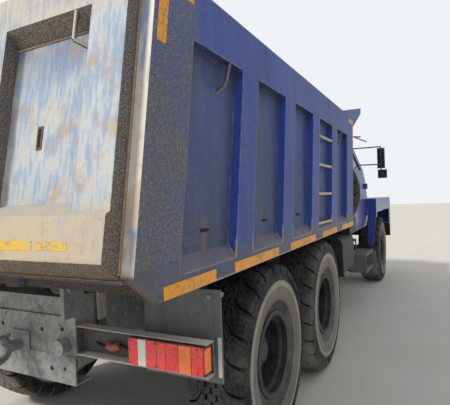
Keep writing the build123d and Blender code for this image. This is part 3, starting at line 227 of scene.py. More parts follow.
EYE = (-2.167, 5.371, 1.674)
yaw, pitch, roll = radians(27.16), radians(-0.47), radians(2.14)
ahead = Vector((sin(yaw) * cos(pitch), -cos(yaw) * cos(pitch), sin(pitch)))
level_right = Vector((-cos(yaw), -sin(yaw), 0))
right = cos(roll) * level_right + sin(roll) * ahead.cross(level_right)
camera_data = bpy.data.cameras.new("standing_camera")
camera_data.sensor_width = 36.0
camera_data.lens = 33.28
camera = into_scene("standing_camera", camera_data)
camera.matrix_world = Matrix((*zip(right, right.cross(ahead), -ahead, EYE), (0, 0, 0, 1)))
scene.camera = camera

# The tipping body. Welded from folded steel sheet, with hat-section posts down each side. Sprayed
# blue, faded on the outer faces, dusted tan, and spattered with dried mud on the rear corner posts.


def middle_of(node):
    low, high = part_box(node)
    return (low + high) / 2


REAR_Y = middle_of("tyre_rear_right").y
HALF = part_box("tipping_body")[1].x  # half the body's width
LEAN = 0.18  # how far the ends lean forwards in each metre of height
FOOT_Z = 1.3  # distances behind the rear axle are measured at this height
SHEET_X = 1.2  # the side sheet's outer face, then its inner face
INNER_X = SHEET_X - 0.008
FLOOR_Z = 1.4
RAIL_Z = 2.3  # the top rail's foot, then its top
TOP_Z = 2.6
CORNER_POST = 1.2  # how far behind the rear axle the corner post starts
LOAD_FRONT = -2.4
LADDER = (-1.37, -0.88)  # the posts that the rungs join
DRAINS = (1.005, 0.262, -0.437)


def show(node, *finishes):
    """Gives a frame node its finishes, slot by slot."""
    for i, slot in enumerate(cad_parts[node].material_slots):
        slot.material = finishes[min(i, len(finishes) - 1)].material


def piece(name, shape, finishes, body):
    """A finished mesh as a piece that rides on a body."""
    mesh = bpy.data.meshes.new(name)
    shape.to_mesh(mesh)
    shape.free()
    for finish in finishes:
        mesh.materials.append(finish.material)
    made = into_scene(name, mesh)
    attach(made, body)
    return made


def dusty_paint(name, fresh, faded, dust, film=0.1, mud=0.0, gloss=0.42, where=None, grime=None,
                worn=0.6, over=None, streaks=0.6, edge=0.007):
    """Sprayed steel under road dirt: fading, a film of dust, runs, specks, dried mud, worn edges
    that on the body also stand for painted highlights.

    where(paint) gives more film and more mud by place, and over(paint, coat) the coats on top.
    """
    paint = Finish(name, Specular_IOR_Level=0.3)
    broad = paint.grain(1.3, 4) - 0.5
    fine = paint.grain(34, 5, roughness=0.7)
    runs = (paint.grain(17, 4, (1.0, 1.0, 0.05)) - 0.5) * streaks
    settled = paint.facing("Z").step(0.3, 0.95)
    more_film, more_mud = where(paint) if where else (0.0, 0.0)
    thin = (film + broad * 0.8 + runs * 1.5 + (fine - 0.5) * 0.7 + settled * 0.4
            + more_film).held()
    spots = (paint.grain(11, 6, roughness=0.75) + (more_mud + mud) * 0.25).step(0.62, 0.72)
    fading = ((paint.grain(0.9, 3) - 0.5) * 2.4 + runs * 1.6 + 0.5).held()
    specks = paint.grain(130, 3, roughness=0.7).step(0.55, 0.68) * (thin + 0.35).held()
    edge_wear_and_highlight = paint.edges(edge) * paint.grain(22, 3).step(0.3, 0.55) * worn
    coat = paint.layers(paint.layer(fading, fresh, faded), (thin, dust), (specks * 0.5, dust),
                        (edge_wear_and_highlight, (190, 172, 152)), (spots * 0.8, grime or dust))
    paint.set("Base Color", over(paint, coat) if over else coat)
    paint.set("Roughness", (thin * 0.4 + spots * 0.4 + gloss).held())
    paint.relief(fine * 0.5 + spots * 0.5, 0.0022, 0.5)
    return paint


def on_body(paint):
    """Places on the body: from its middle, behind the rear axle with the lean out, and height."""
    x, y, z = paint.xyz()
    return abs(x), y + (z - FOOT_Z) * LEAN - REAR_Y, z


def body_dirt(paint):
    """Where dirt lies on the body: the sheet between the posts, the undersides and the foot."""
    x, along, z = on_body(paint)
    sheet = x.step(SHEET_X + 0.01, SHEET_X)
    under = paint.facing("Z").step(-0.2, -0.7)
    foot = z.step(1.75, 1.32)
    aft = along.step(-1.5, 1.2)
    canopy = z.step(TOP_Z + 0.02, TOP_Z + 0.06)
    posts = x.step(SHEET_X + 0.015, SHEET_X + 0.035) * z.step(RAIL_Z, RAIL_Z - 0.02)
    return (sheet * (aft * 0.24 + 0.02) + under * 0.3 + foot * 0.12 - canopy * 0.7 - posts * 0.06,
            foot * 0.4 + sheet * 0.15 - 0.1)


def body_coats(paint, coat):
    """Dust and mud over the blue, painted shadows, pale rear faces that are partly painted
    sunlight, and the bare inside.
    """
    x, along, z = on_body(paint)
    up, back = paint.facing("Z"), paint.facing("Y")
    splash = paint.grain(5, 5, roughness=0.65)
    grit = paint.grain(150, 3, roughness=0.75)
    smears = paint.grain(14, 5, (1.0, 1.0, 0.12), roughness=0.65)
    runs = paint.grain(22, 4, (1.0, 1.0, 0.08))

    # The side sheet is dusty, the posts' flanks are bright blue, and a painted shadow lies under
    # the rail.
    sheet = x.step(SHEET_X + 0.01, SHEET_X) * x.step(INNER_X + 0.001, INNER_X + 0.003)
    film = (0.25 + (smears - 0.5) * 1.8 + z.step(RAIL_Z, 1.5) * 0.25).held()
    flank = (abs(back).step(0.4, 0.8) * x.step(SHEET_X + 0.003, SHEET_X + 0.006)
             * z.step(RAIL_Z + 0.04, RAIL_Z) * z.step(FLOOR_Z + 0.01, FLOOR_Z + 0.04)
             * along.step(CORNER_POST + 0.05, CORNER_POST))
    painted_rail_shadow = sheet * z.step(2.12, 2.34) + up.step(-0.2, -0.6) * z.step(RAIL_Z - 0.1, RAIL_Z)
    settled = paint.grain(3.2, 4).step(0.4, 0.66)

    # Mud lies over the rear posts and on the corner under them, dust on the low rail and ledge.
    post = along.step(CORNER_POST, CORNER_POST + 0.09) * x.step(HALF - 0.06, HALF - 0.003)
    spatter = z.step(2.75, 1.9) * 0.5 + (splash - 0.5) * 1.5 + (grit - 0.5) * 1.1 + 0.42
    slurry = paint.layer(grit.step(0.42, 0.6), (86, 89, 96), (118, 115, 109))
    corner = (along.step(CORNER_POST - 0.18, CORNER_POST) * z.step(FOOT_Z + 0.04, FOOT_Z)
              + along.step(CORNER_POST - 0.1, CORNER_POST) * up.step(-0.2, -0.6)).held()
    corner *= z.step(1.5, 1.45)
    muddy = paint.layer(grit.step(0.42, 0.6), (62, 56, 52), (122, 110, 98))
    ledge = up.step(0.2, 0.6) * x.step(SHEET_X - 0.01, SHEET_X) * z.step(1.6, 1.5)
    rail = z.step(1.44, 1.43) * x.step(HALF - 0.006, HALF - 0.002)
    # rim: pale edges low on the side, partly wear and partly painted highlight.
    rim = (paint.edges(0.02) * z.step(1.5, 1.45) * x.step(SHEET_X, SHEET_X + 0.01)
           * along.step(CORNER_POST + 0.1, CORNER_POST))

    # What faces rearwards is pale, as dust and as painted sunlight, with tan mud dried on it.
    tan = (paint.grain(6, 5, roughness=0.7) + z.step(2.1, 1.4) * 0.12).step(0.5, 0.62)
    dust_and_painted_sun = paint.layers(
        paint.layer(runs.step(0.38, 0.54), (160, 178, 204), (222, 218, 210)),
        # the dark band low on the rear faces is a painted shadow
        (tan * 0.8, (212, 184, 156)), (z.step(1.46, 1.38) * 0.85, (96, 84, 74)))
    # Painted shadow: rear faces below the floor, at the gate's foot, are darkened.
    behind = paint.xyz()[1].step(REAR_Y + 0.9, REAR_Y + 1.1)
    painted_foot_shadow = back.step(0.5, 0.9) * z.step(FLOOR_Z + 0.03, FLOOR_Z + 0.01) * behind
    drip = abs(along - DRAINS[0])
    for place in DRAINS[1:]:
        drip = drip.up_to(abs(along - place))
    drip = (drip.step(0.045, 0.012) * z.step(1.62, 1.56) * x.step(SHEET_X + 0.02, SHEET_X + 0.005)
            * runs.step(0.42, 0.55))

    # The load space is scraped to steel low down and keeps some paint high up; so are the rungs.
    hollow = (x.step(INNER_X + 0.0005, INNER_X - 0.0005) * z.step(FLOOR_Z, FLOOR_Z + 0.003)
              * z.step(TOP_Z + 0.012, TOP_Z) * along.step(LOAD_FRONT, LOAD_FRONT + 0.005))
    dragged = paint.grain(9, 5, (1.0, 0.12, 1.0), roughness=0.7)
    rusty = (paint.grain(4, 4) + z.step(2.2, 1.41) * 0.14).step(0.5, 0.66)
    scraped = paint.layers(paint.layer(dragged.step(0.36, 0.64), (92, 84, 78), (150, 146, 142)),
                           (rusty * 0.8, (142, 118, 94)))
    kept = (z.step(1.9, TOP_Z) * 0.8 + (paint.grain(3, 4) - 0.5) * 1.2).step(0.35, 0.6)
    rung = (along.step(LADDER[0] - 0.001, LADDER[0] + 0.002)
            * along.step(LADDER[1] + 0.002, LADDER[1] - 0.001)
            * x.step(SHEET_X + 0.014, SHEET_X + 0.017)
            * z.step(FLOOR_Z + 0.012, FLOOR_Z + 0.015) * z.step(RAIL_Z, RAIL_Z - 0.01))
    return paint.layers(
        coat,
        (sheet * film, (70, 76, 92)),
        (flank * (0.75 - smears.step(0.5, 0.65) * 0.5), (56, 92, 186)),
        (painted_rail_shadow.held() * 0.45, (38, 42, 56)),
        (grit.step(0.55, 0.66) * (settled * 0.3 + 0.14), (168, 166, 162)),
        (grit.step(0.45, 0.36) * 0.3, (40, 46, 66)),
        ((post * spatter).held() * 0.94, slurry),
        (post * grit.step(0.6, 0.68) * 0.5, (198, 193, 184)),
        (corner * (splash * 0.5 + 0.6).held(), muddy),
        (ledge * (splash.step(0.35, 0.6) * 0.35 + 0.35), (128, 120, 116)),
        (rail * (splash.step(0.35, 0.55) * 0.4 + 0.4), (84, 87, 98)),
        ((rim * 1.2).held(), (214, 192, 166)),
        (back.step(0.55, 0.9) * along.step(CORNER_POST + 0.1, CORNER_POST + 0.2), dust_and_painted_sun),
        (painted_foot_shadow * 0.9, paint.layer(grit.step(0.45, 0.6), (58, 52, 48), (104, 90, 76))),
        (drip * 0.4, (132, 106, 86)),
        (hollow * (1 - kept * 0.85), scraped),
        (rung, paint.layer(runs, (150, 142, 136), (224, 208, 186))))


# The high worn and wide edge make the edge wear also stand for painted highlights along the body's
# edges.
show("tipping_body", dusty_paint(
    "body_paint", (34, 60, 142), (58, 86, 166), (122, 122, 120), 0.03, -0.05, gloss=0.4,
    where=body_dirt, grime=(100, 98, 94), over=body_coats, worn=0.85, edge=0.012))

# Reflective tape. Yellow adhesive strips stuck along the bottom rail in dashes, with L-shaped
# pieces at the upper corners, scuffed and dusty, with lifted and missing flakes.
TAPE_DASHES = (  # rear end and front end, behind the axle
    (1.37, 0.958), (0.761, 0.114), (-0.13, -0.789), (-1.028, -1.597), (-1.84, -2.51))
TAPE_Z = (1.303, 1.355)
TAPE_CORNERS = (  # behind the axle, z
    ((1.470, 2.28), (1.530, 2.28), (1.530, 2.575), (1.29, 2.575), (1.29, 2.52), (1.470, 2.52)),
    ((-2.475, 2.33), (-2.435, 2.33), (-2.435, 2.53), (-2.225, 2.53), (-2.225, 2.58),
     (-2.475, 2.58)))
TAPE_SUNK, TAPE_THICK = 0.0004, 0.0012


def loft(shape, rings, slot=0, smooth=False, capped=True):
    """Skins a row of closed rings of points, with a flat end on each side where capped."""
    count = len(rings[0])
    for a, b in zip(rings, rings[1:]):
        for i in range(count):
            j = (i + 1) % count
            face = shape.faces.new((a[i], a[j], b[j], b[i]))
            face.smooth = smooth
            face.material_index = slot
    for end in (rings[0][::-1], rings[-1]) if capped else ():
        shape.faces.new(end).material_index = slot


def turn_outwards(shape):
    bmesh.ops.recalc_face_normals(shape, faces=shape.faces)


def patch(shape, corners, point):
    """A strip stuck on a face; point(u, z, out) is the place of a corner."""
    loft(shape, [[shape.verts.new(point(u, z, out)) for u, z in corners]
                 for out in (-TAPE_SUNK, TAPE_THICK)])


def leaning_y(behind_axle, z):
    """y on the body, from a distance behind the rear axle measured at the foot of the body."""
    return REAR_Y + behind_axle - LEAN * (z - FOOT_Z)


tape = bmesh.new()
for side in (-1, 1):
    def on_side(y, z, out):
        return side * (HALF + out), y, z

    for start, end in TAPE_DASHES:
        y0, y1 = REAR_Y + end, REAR_Y + start
        z0, z1 = TAPE_Z
        patch(tape, [(y0, z0), (y1, z0), (y1, z1), (y0, z1)], on_side)
    for corner in TAPE_CORNERS:
        patch(tape, [(leaning_y(a, z), z) for a, z in corner], on_side)
turn_outwards(tape)
strip = Finish("reflective_tape", Specular_IOR_Level=0.5)
scuffed = (strip.grain(55, 4) * 0.6 + strip.grain(7, 3) * 0.4).step(0.5, 0.62)
strip.set("Base Color", strip.layer(scuffed * 0.7, (238, 158, 40), (168, 138, 96)))
strip.set("Roughness", scuffed * 0.4 + 0.35)
piece("reflective_tape", tape, [strip], "tipping_body")

# Sheet hooks. Bent round bars welded under the top rail in the first and last bays, for lashing a
# load cover. Bare steel with rust blooms.
HOOK_BAYS = (0.74, -1.98)
HOOK_PATH = ((0.012, -0.028, 2.372), (0.014, 0, 2.30), (0.02, 0.014, 2.255),
             (0.045, 0.036, 2.216), (0.064, 0.05, 2.20))  # in from the side, aft of the bay, z
HOOK_R = 0.0105
CURVE_STEPS = 6


def smooth_path(points):
    """Points along a smooth curve through the given ones."""
    ends = [points[0] * 2 - points[1]] + points + [points[-1] * 2 - points[-2]]
    path = []
    for a, b, c, d in zip(ends, ends[1:], ends[2:], ends[3:]):
        for k in range(CURVE_STEPS):
            t = k / CURVE_STEPS
            path.append(0.5 * ((2 * b) + (c - a) * t + (2 * a - 5 * b + 4 * c - d) * t * t
                               + (3 * b - a - 3 * c + d) * t * t * t))
    return path + [points[-1]]


def circle(shape, centre, radius, across, other, sides):
    """A ring of points about a centre, in the plane of two directions."""
    turns = [2 * pi * k / sides for k in range(sides)]
    return [shape.verts.new(centre + radius * (cos(t) * across + sin(t) * other)) for t in turns]


def rod(shape, points, radius, sides=10, curved=True, slot=0):
    """A round bar along a path, closed at both ends."""
    path = [Vector(p) for p in points]
    if curved:
        path = smooth_path(path)
    across = (path[1] - path[0]).normalized().orthogonal().normalized()
    rings = []
    for i, point in enumerate(path):
        tangent = (path[min(i + 1, len(path) - 1)] - path[max(i - 1, 0)]).normalized()
        across = (across - tangent * across.dot(tangent)).normalized()
        rings.append(circle(shape, point, radius, across, tangent.cross(across), sides))
    loft(shape, rings, slot, smooth=True)


def metal(name, colour, rust, roughness=0.45, bare=0.8):
    """Bare or thinly painted steel with rust blooms."""
    steel = Finish(name)
    bloom = (steel.grain(34, 5) * 0.6 + steel.grain(5, 3) * 0.4).step(0.46, 0.62)
    steel.set("Base Color", steel.layer(bloom, colour, rust))
    steel.set("Metallic", (1 - bloom) * bare)
    steel.set("Roughness", bloom * 0.4 + roughness)
    steel.relief(steel.grain(90, 3), 0.0006, 0.4)
    return steel


hook_steel = metal("hook_steel", (120, 122, 126), (112, 84, 66))
hooks = bmesh.new()
for side in (-1, 1):
    for bay in HOOK_BAYS:
        rod(hooks, [(side * (HALF - sunk), REAR_Y + bay + aft, z) for sunk, aft, z in HOOK_PATH],
            HOOK_R)
piece("sheet_hooks", hooks, [hook_steel], "tipping_body")

# The tailgate. One pressed plate between four upright stiffeners and two box beams. Sprayed blue
# and made almost white by dried slurry and painted sunlight, with a painted shade under the top
# beam where the blue shows.
GATE_FACE = 1.557  # the gate's pressed plate, behind the rear axle
gate_paint = Finish("gate_paint", Specular_IOR_Level=0.25)
_, behind_axle, height = on_body(gate_paint)
depth = behind_axle - GATE_FACE
up, back = gate_paint.facing("Z"), gate_paint.facing("Y")
fine = gate_paint.grain(40, 5, roughness=0.7)
broad = gate_paint.grain(2.2, 4)
runs = gate_paint.grain(46, 5, (1.0, 1.0, 0.035))
low_beam = height.step(1.72, 1.6)
# Painted shade: under the top beam the pale coat thins so the darker blue shows.
top_shade = height.step(2.12, 2.36) * depth.step(0.02, 0.006)
pale = (0.92 + (fine - 0.5) * 0.5 + (broad - 0.5) * 0.6 - top_shade * 0.75).held()
# The pale coat is dust and painted sunlight.
dust_and_painted_sun = gate_paint.layer((runs * 0.6 + broad * 0.4).step(0.42, 0.56),
                            (166, 184, 208), (208, 211, 210))
tan = (runs * 0.55 + broad * 0.45 + height.step(1.85, 1.45) * 0.16).step(0.52, 0.66)
beams = depth.step(0.025, 0.05) * (low_beam + height.step(2.36, 2.5))
inner = gate_paint.layer(runs.step(0.4, 0.6), (98, 90, 84), (150, 142, 134))
blotches = (gate_paint.grain(7.5, 6, roughness=0.72) + fine * 0.16).step(0.6, 0.74)
# Side faces and undersides are darker, with a tan speckle.
sides_and_under = abs(gate_paint.facing("X")).step(0.5, 0.9) + up.step(-0.1, -0.6)
dark_speckle = gate_paint.layer(gate_paint.grain(120, 3, roughness=0.75).step(0.42, 0.62),
                         (66, 60, 55), (140, 128, 114))
gate_paint.set("Base Color", gate_paint.layers(
    gate_paint.layer(broad, (92, 112, 158), (126, 144, 178)),
    (pale, dust_and_painted_sun),
    (tan * 0.62, (196, 180, 156)),
    ((beams * (broad * 0.9 + low_beam * 0.3)).held() * 0.85, (206, 186, 154)),
    (back.step(-0.5, -0.9), inner),
    (blotches * 0.5, (186, 152, 116)),
    (sides_and_under.held() * 0.9, dark_speckle),
    ((height.step(1.5, 1.43) * runs.step(0.4, 0.56)).held() * 0.7, (116, 92, 68)),
    (gate_paint.edges(0.008) * gate_paint.grain(26, 3).step(0.4, 0.6) * 0.6, (122, 96, 76)),
    (gate_paint.grain(150, 3, roughness=0.7).step(0.62, 0.7) * 0.55, (122, 112, 98)),
    (up.step(0.25, 0.8) * 0.5, (188, 176, 152))))
gate_paint.set("Roughness", (fine * 0.25 + 0.55).held())
gate_paint.relief(fine * 0.6 + runs * 0.4, 0.0022, 0.5)
show("tailgate", gate_paint)

# Gate fittings. Two latch slots in the pressed plate with two more in the outer bays, all rusty,
# and what is left of a yellow reflective strip on the lower beam.
LATCH_SLOTS = (  # x, z
    (-0.705, 1.955), (0.26, 1.965), (-0.26, 1.95), (0.705, 1.95))
LATCH_PARTS = (  # half its width, y from and to, half its height, rounding, finish
    (0.016, -0.001, 0.004, 0.05, 0.0035, 1), (0.008, 0.002, 0.0055, 0.04, 0.0016, 0))
STRIP_REMNANTS = (  # from x, to x, low edge, high edge
    (-1.02, -0.86, 1.515, 1.545), (-0.84, -0.62, 1.512, 1.547), (-0.60, -0.42, 1.518, 1.546),
    (-0.36, -0.18, 1.514, 1.544), (-0.1, 0.22, 1.514, 1.546), (0.3, 0.46, 1.518, 1.545),
    (0.6, 0.92, 1.513, 1.546))
BEAM_PROUD = 0.09


def on_gate(depth, z):
    """y on the gate's own leaning plane, at a depth rearwards of its pressed plate."""
    return leaning_y(GATE_FACE + depth, z)


def merge(shape, other, slot=None):
    """Adds one mesh to another, with one finish where a slot is given."""
    if slot is not None:
        for face in other.faces:
            face.material_index = slot
    turn_outwards(other)
    carried = bpy.data.meshes.new("carried")
    other.to_mesh(carried)
    other.free()
    shape.from_mesh(carried)
    bpy.data.meshes.remove(carried)


def soft_box(shape, corner, opposite, round_by=0.004, slot=0):
    """A block with rounded edges between two corners, in one finish."""
    one = bmesh.new()
    spans = [sorted(ends) for ends in zip(corner, opposite)]
    for vertex in bmesh.ops.create_cube(one, size=1.0)["verts"]:
        vertex.co = Vector([low + (high - low) * (share + 0.5)
                            for (low, high), share in zip(spans, vertex.co)])
    bmesh.ops.bevel(one, geom=list(one.edges), offset=round_by, segments=2, affect="EDGES",
                    profile=0.7, clamp_overlap=True)
    merge(shape, one, slot)


def leaned(shape):
    """Leans a shape with the body."""
    for vertex in shape.verts:
        vertex.co.y -= LEAN * (vertex.co.z - FOOT_Z)


def mottled(name, scale, detail, dark, pale, roughness=0.9, mask=lambda grain: grain):
    """A small part's finish: two colours mixed by one grain."""
    finish = Finish(name, roughness)
    finish.set("Base Color", finish.layer(mask(finish.grain(scale, detail)), dark, pale))
    return finish


rust = mottled("slot_rust", 60, 4, (70, 52, 42), (150, 126, 104))
dark_steel = mottled("slot_dark", 80, 3, (16, 15, 15), (40, 34, 30))
fittings = bmesh.new()
gate_y = REAR_Y + GATE_FACE
for x, z in LATCH_SLOTS:
    latch = bmesh.new()
    for half_x, y0, y1, half_z, round_by, slot in LATCH_PARTS:
        soft_box(latch, (x - half_x, gate_y + y0, z - half_z),
                 (x + half_x, gate_y + y1, z + half_z), round_by, slot)
    leaned(latch)
    merge(fittings, latch)
piece("gate_latch_slots", fittings, [dark_steel, rust], "tailgate")

remnant = bmesh.new()
for x0, x1, z0, z1 in STRIP_REMNANTS:
    patch(remnant, [(x0, z0), (x1, z0), (x1, z1), (x0, z1)],
          lambda x, z, out: (x, on_gate(BEAM_PROUD + out, z), z))
turn_outwards(remnant)
old_strip = Finish("old_strip", roughness=0.6)
flaked = (old_strip.grain(38, 4) * 0.6 + old_strip.grain(9, 3) * 0.4).step(0.5, 0.56)
old_strip.set("Base Color", old_strip.layer(flaked, (232, 188, 66), (214, 186, 120)))
old_strip.set("Alpha", old_strip.grain(30, 4, (0.6, 1.0, 1.6), roughness=0.65).step(0.40, 0.43))
piece("gate_strip_remnants", remnant, [old_strip], "tailgate")

# Gate seams. A bead of old sealant and weld, caked tan, down each edge of the gate, down its
# stiffeners and under its top beam.
EDGE_BEAD = (1.1865, 1.425, 2.585, 0.003, 0.0052, 8)  # x, from z, to z, proud, radius, sides
STIFFENER_BEAD = (1.004, 1.70, 2.36, 0.004, 0.004, 6)
TOP_BEAM_Z = 2.372
beads = bmesh.new()
for side in (-1, 1):
    for x, z0, z1, proud, radius, sides in (EDGE_BEAD, STIFFENER_BEAD):
        rod(beads, [(side * x, on_gate(proud, z), z) for z in (z0, z1)], radius, sides, False)
rod(beads, [(x, on_gate(0.004, TOP_BEAM_Z), TOP_BEAM_Z) for x in (-1.0, 1.0)], 0.004, 6, False)
bead_crust = mottled("bead_crust", 70, 4, (116, 96, 78), (206, 186, 160), 0.85)
bead_crust.relief(bead_crust.grain(150, 3), 0.004, 0.8)
piece("gate_seams", beads, [bead_crust], "tailgate")

# Body seams and drains. Butt welds across the top rail where its lengths join, and the drain slots
# cut through each side sheet just over the floor, rusted at their edges.
RAIL_WELDS = (((0.45, 2.600), (0.425, 2.40)), ((-0.129, 2.600), (-0.166, 2.38)),
              ((-1.2, 2.6), (-1.236, 2.38)))  # top and foot: behind the axle, z
DRAIN_PARTS = (  # proud of the sheet, half its length, from z, to z, finish
    (0.0015, 0.036, 1.526, 1.545, 1), (0.0025, 0.041, 1.543, 1.549, 0))
seams = bmesh.new()
for side in (-1, 1):
    for weld in RAIL_WELDS:
        rod(seams, [(side * (HALF - 0.0015), leaning_y(a, z), z) for a, z in weld], 0.0036, 6,
            False)
    for place in DRAINS:
        hole = bmesh.new()
        for proud, half, z0, z1, slot in DRAIN_PARTS:
            soft_box(hole, (side * (SHEET_X - 0.0035), REAR_Y + place - half, z0),
                     (side * (SHEET_X + proud), REAR_Y + place + half, z1), 0.002, slot)
        leaned(hole)
        merge(seams, hole)
weld_crust = mottled("weld_crust", 50, 4, (96, 88, 92), (150, 116, 88), 0.8,
                     lambda grain: grain.step(0.4, 0.6))
weld_crust.relief(weld_crust.grain(170, 3), 0.003, 0.8)
piece("body_seams", seams, [weld_crust, dark_steel], "tipping_body")

# The chassis. Riveted channel rails, cross-members, sub-frame, axles and springs in grey primer
# under baked-on dust, with the rear faces paler from splashes and, in their upper part, from
# painted sunlight.


def frame_dirt(paint):
    """The rear faces are splashed, with painted sunlight on their upper half."""
    _, y, z = paint.xyz()
    splashes = paint.grain(9, 6, roughness=0.75).step(0.4, 0.6)
    splashes_and_painted_sun = paint.facing("Y").step(0.5, 0.9) * (splashes * 0.3 + z.step(0.9, 1.05) * 0.22 + 0.06)
    return splashes_and_painted_sun, y.step(REAR_Y + 0.8, REAR_Y + 1.0) * 0.2


frame_paint = dusty_paint("frame_paint", (72, 79, 88), (98, 105, 113), (182, 182, 176), 0.22, 0.1,
                          gloss=0.6, where=frame_dirt, grime=(120, 112, 100), streaks=0.15)
under_paint = dusty_paint("under_paint", (34, 35, 38), (50, 51, 53), (112, 106, 97), 0.2, 0.1,
                          gloss=0.65, grime=(96, 88, 77), streaks=0.1)
for node in ("frame_rails", "tipping_subframe"):
    show(node, frame_paint)
for node in ("axles", "leaf_springs", "drive_line", "exhaust_and_air_tanks", "tie_rod",
             "knuckle_right", "knuckle_left", "hoist_barrel"):
    show(node, under_paint)
show("hoist_rod", metal("hoist_rod_chrome", (190, 192, 196), (150, 140, 126), roughness=0.16,
                        bare=1.0))

# Tyres. Cross-country tread: three rows of small blunt-cornered blocks along the crown, and long
# curved bars over each shoulder, moulded in one with a sidewall that carries a dusty scuff ridge.
TYRE_R = 0.62
CROWN_HALF, CROWN_DROP = 0.118, 0.005
SHOULDER_WIDE, SHOULDER_DROP = 0.05, 0.021
CROWN_ROWS, CROWN_BLOCKS = (-0.032, 0.0, 0.032), 48
TYRE_SEGMENTS = 132
LUG_DEEP = 0.022
LUG_ROOT, LUG_LIP = 1.15, 0.13  # how deep a lug's foot and its chamfer are, as shares
BAR_GAP, SLICE_GAP = 0.006, 0.0375
SHOULDER_BARS = 24
PITCH = 2 * pi / SHOULDER_BARS
CHAMFER = 0.0032
GROOVE_LINE = (  # x, how far the gap between two bars has swept round
    (0.03, -0.066), (0.05, -0.062), (0.064, -0.05), (0.080, -0.018), (0.097, 0.010),
    (0.118, 0.021), (0.140, 0.031), (0.160, 0.039), (0.2, 0.055))
GROOVE_R = 0.61  # the radius on which the line above is measured
BAR_FOOT = ((0.1775, 0.578, 0.017), (0.1835, 0.556, 0.009), (0.186, 0.532, 0.004))  # x, r, deep
CARCASS = (  # x, r, from the crown round the outside and back inside
    (0, 0.598), (0.06, 0.5975), (0.118, 0.592), (0.150, 0.580), (0.166, 0.566), (0.174, 0.550),
    (0.180, 0.530), (0.184, 0.510), (0.1868, 0.492), (0.188, 0.482), (0.1905, 0.476),
    (0.1912, 0.467), (0.1905, 0.458), (0.1882, 0.452), (0.1875, 0.445), (0.187, 0.430),
    (0.1852, 0.410), (0.1815, 0.385), (0.1770, 0.368), (0.1745, 0.362), (0.172, 0.352),
    (0.1725, 0.345), (0.167, 0.335), (0.158, 0.318), (0.150, 0.300), (0.1455, 0.289),
    (0.1417, 0.285), (0.1417, 0.259), (0.108, 0.259), (0.116, 0.288), (0.150, 0.34),
    (0.170, 0.43), (0.166, 0.50), (0.142, 0.555), (0.10, 0.578), (0, 0.582))
BLOCK_OUTLINE = (  # x and along the tread, from the block's middle
    (0.0, 0.0255), (0.018, 0.0205), (0.0265, 0.011), (0.0265, -0.011), (0.018, -0.0205),
    (0.0, -0.0255), (-0.018, -0.0205), (-0.0265, -0.011), (-0.0265, 0.011), (-0.018, 0.0205))
BLOCK_TAPER = ((1.05, 1.1), (1.0, 0.14), (0.9, 0.0))  # size and depth, from its foot up
CLEAN_TREAD = 0.92
CLEAN_FROM = ((0.57, 1.25), (0.487, 0.98), (0.450, 0.12), (0.36, 0.5), (0.0, 0.8))  # r, how clean


def around_axle():
    """A node tree that repeats its geometry about the X axis."""
    group = bpy.data.node_groups.new("around_axle", "GeometryNodeTree")
    for name, way, kind in (
            ("Geometry", "INPUT", "Geometry"), ("Count", "INPUT", "Int"),
            ("First turn", "INPUT", "Float"), ("Finish", "INPUT", "Material"),
            ("Geometry", "OUTPUT", "Geometry")):
        group.interface.new_socket(name, in_out=way, socket_type=f"NodeSocket{kind}")
    nodes = Nodes(group)
    shape, count, first_turn, finish = (nodes.node("NodeGroupInput", out=name) for name in (
        "Geometry", "Count", "First turn", "Finish"))
    index = nodes.node("GeometryNodeInputIndex")
    share = nodes.node("ShaderNodeMath", {"operation": "DIVIDE"}, {0: index, 1: count})
    spin = nodes.node("ShaderNodeCombineXYZ", {}, {"X": share * (2 * pi) + first_turn})
    points = nodes.node("GeometryNodePoints", {}, {"Count": count})
    copies = nodes.node("GeometryNodeInstanceOnPoints", {},
                        {"Points": points, "Instance": shape, "Rotation": spin})
    solid = nodes.node("GeometryNodeRealizeInstances", {}, {0: copies})
    coated = nodes.node("GeometryNodeSetMaterial", {}, {"Geometry": solid, "Material": finish})
    nodes.feed(group.nodes.new("NodeGroupOutput").inputs[0], coated)
    return group


AROUND_AXLE = around_axle()


def repeated(shape, count, first_turn, finish):
    """A shape's copies round the axle, as one plain mesh."""
    mesh = bpy.data.meshes.new("pattern")
    shape.to_mesh(mesh)
    shape.free()
    pattern = into_scene("pattern", mesh)
    maker = pattern.modifiers.new("repeat", "NODES")
    maker.node_group = AROUND_AXLE
    values = {"Count": count, "First turn": first_turn, "Finish": finish.material}
    for item in AROUND_AXLE.interface.items_tree:
        if item.name in values:
            maker[item.identifier] = values[item.name]
    bpy.context.view_layer.update()
    evaluated = pattern.evaluated_get(bpy.context.evaluated_depsgraph_get())
    made = bpy.data.meshes.new_from_object(evaluated)
    pattern.modifiers.remove(maker)
    bpy.data.objects.remove(pattern)
    return made


def at_turn(shape, x, radius, turn):
    return shape.verts.new((x, radius * sin(turn), radius * cos(turn)))


def turned(shape, profile, segments, slot=0, smooth=True):
    """A ring turned about the X axis from a closed line of (x, radius) points."""
    rings = [[at_turn(shape, x, r, 2 * pi * k / segments) for x, r in profile]
             for k in range(segments)]
    loft(shape, rings + rings[:1], slot, smooth, capped=False)


def crown(x):
    """The radius of the tread's outside at a distance from the tyre's middle."""
    x = abs(x)
    if x < CROWN_HALF:
        return TYRE_R - CROWN_DROP * (x / CROWN_HALF) ** 2
    past = (x - CROWN_HALF) / SHOULDER_WIDE
    return TYRE_R - CROWN_DROP - SHOULDER_DROP * past ** 1.5


def groove_at(x):
    """How far round the tyre, as an angle, the gap between two shoulder bars has swept."""
    for (x0, y0), (x1, y1) in zip(GROOVE_LINE, GROOVE_LINE[1:]):
        if x <= x1:
            return (y0 + (y1 - y0) * (x - x0) / (x1 - x0)) / GROOVE_R
    return GROOVE_LINE[-1][1] / GROOVE_R


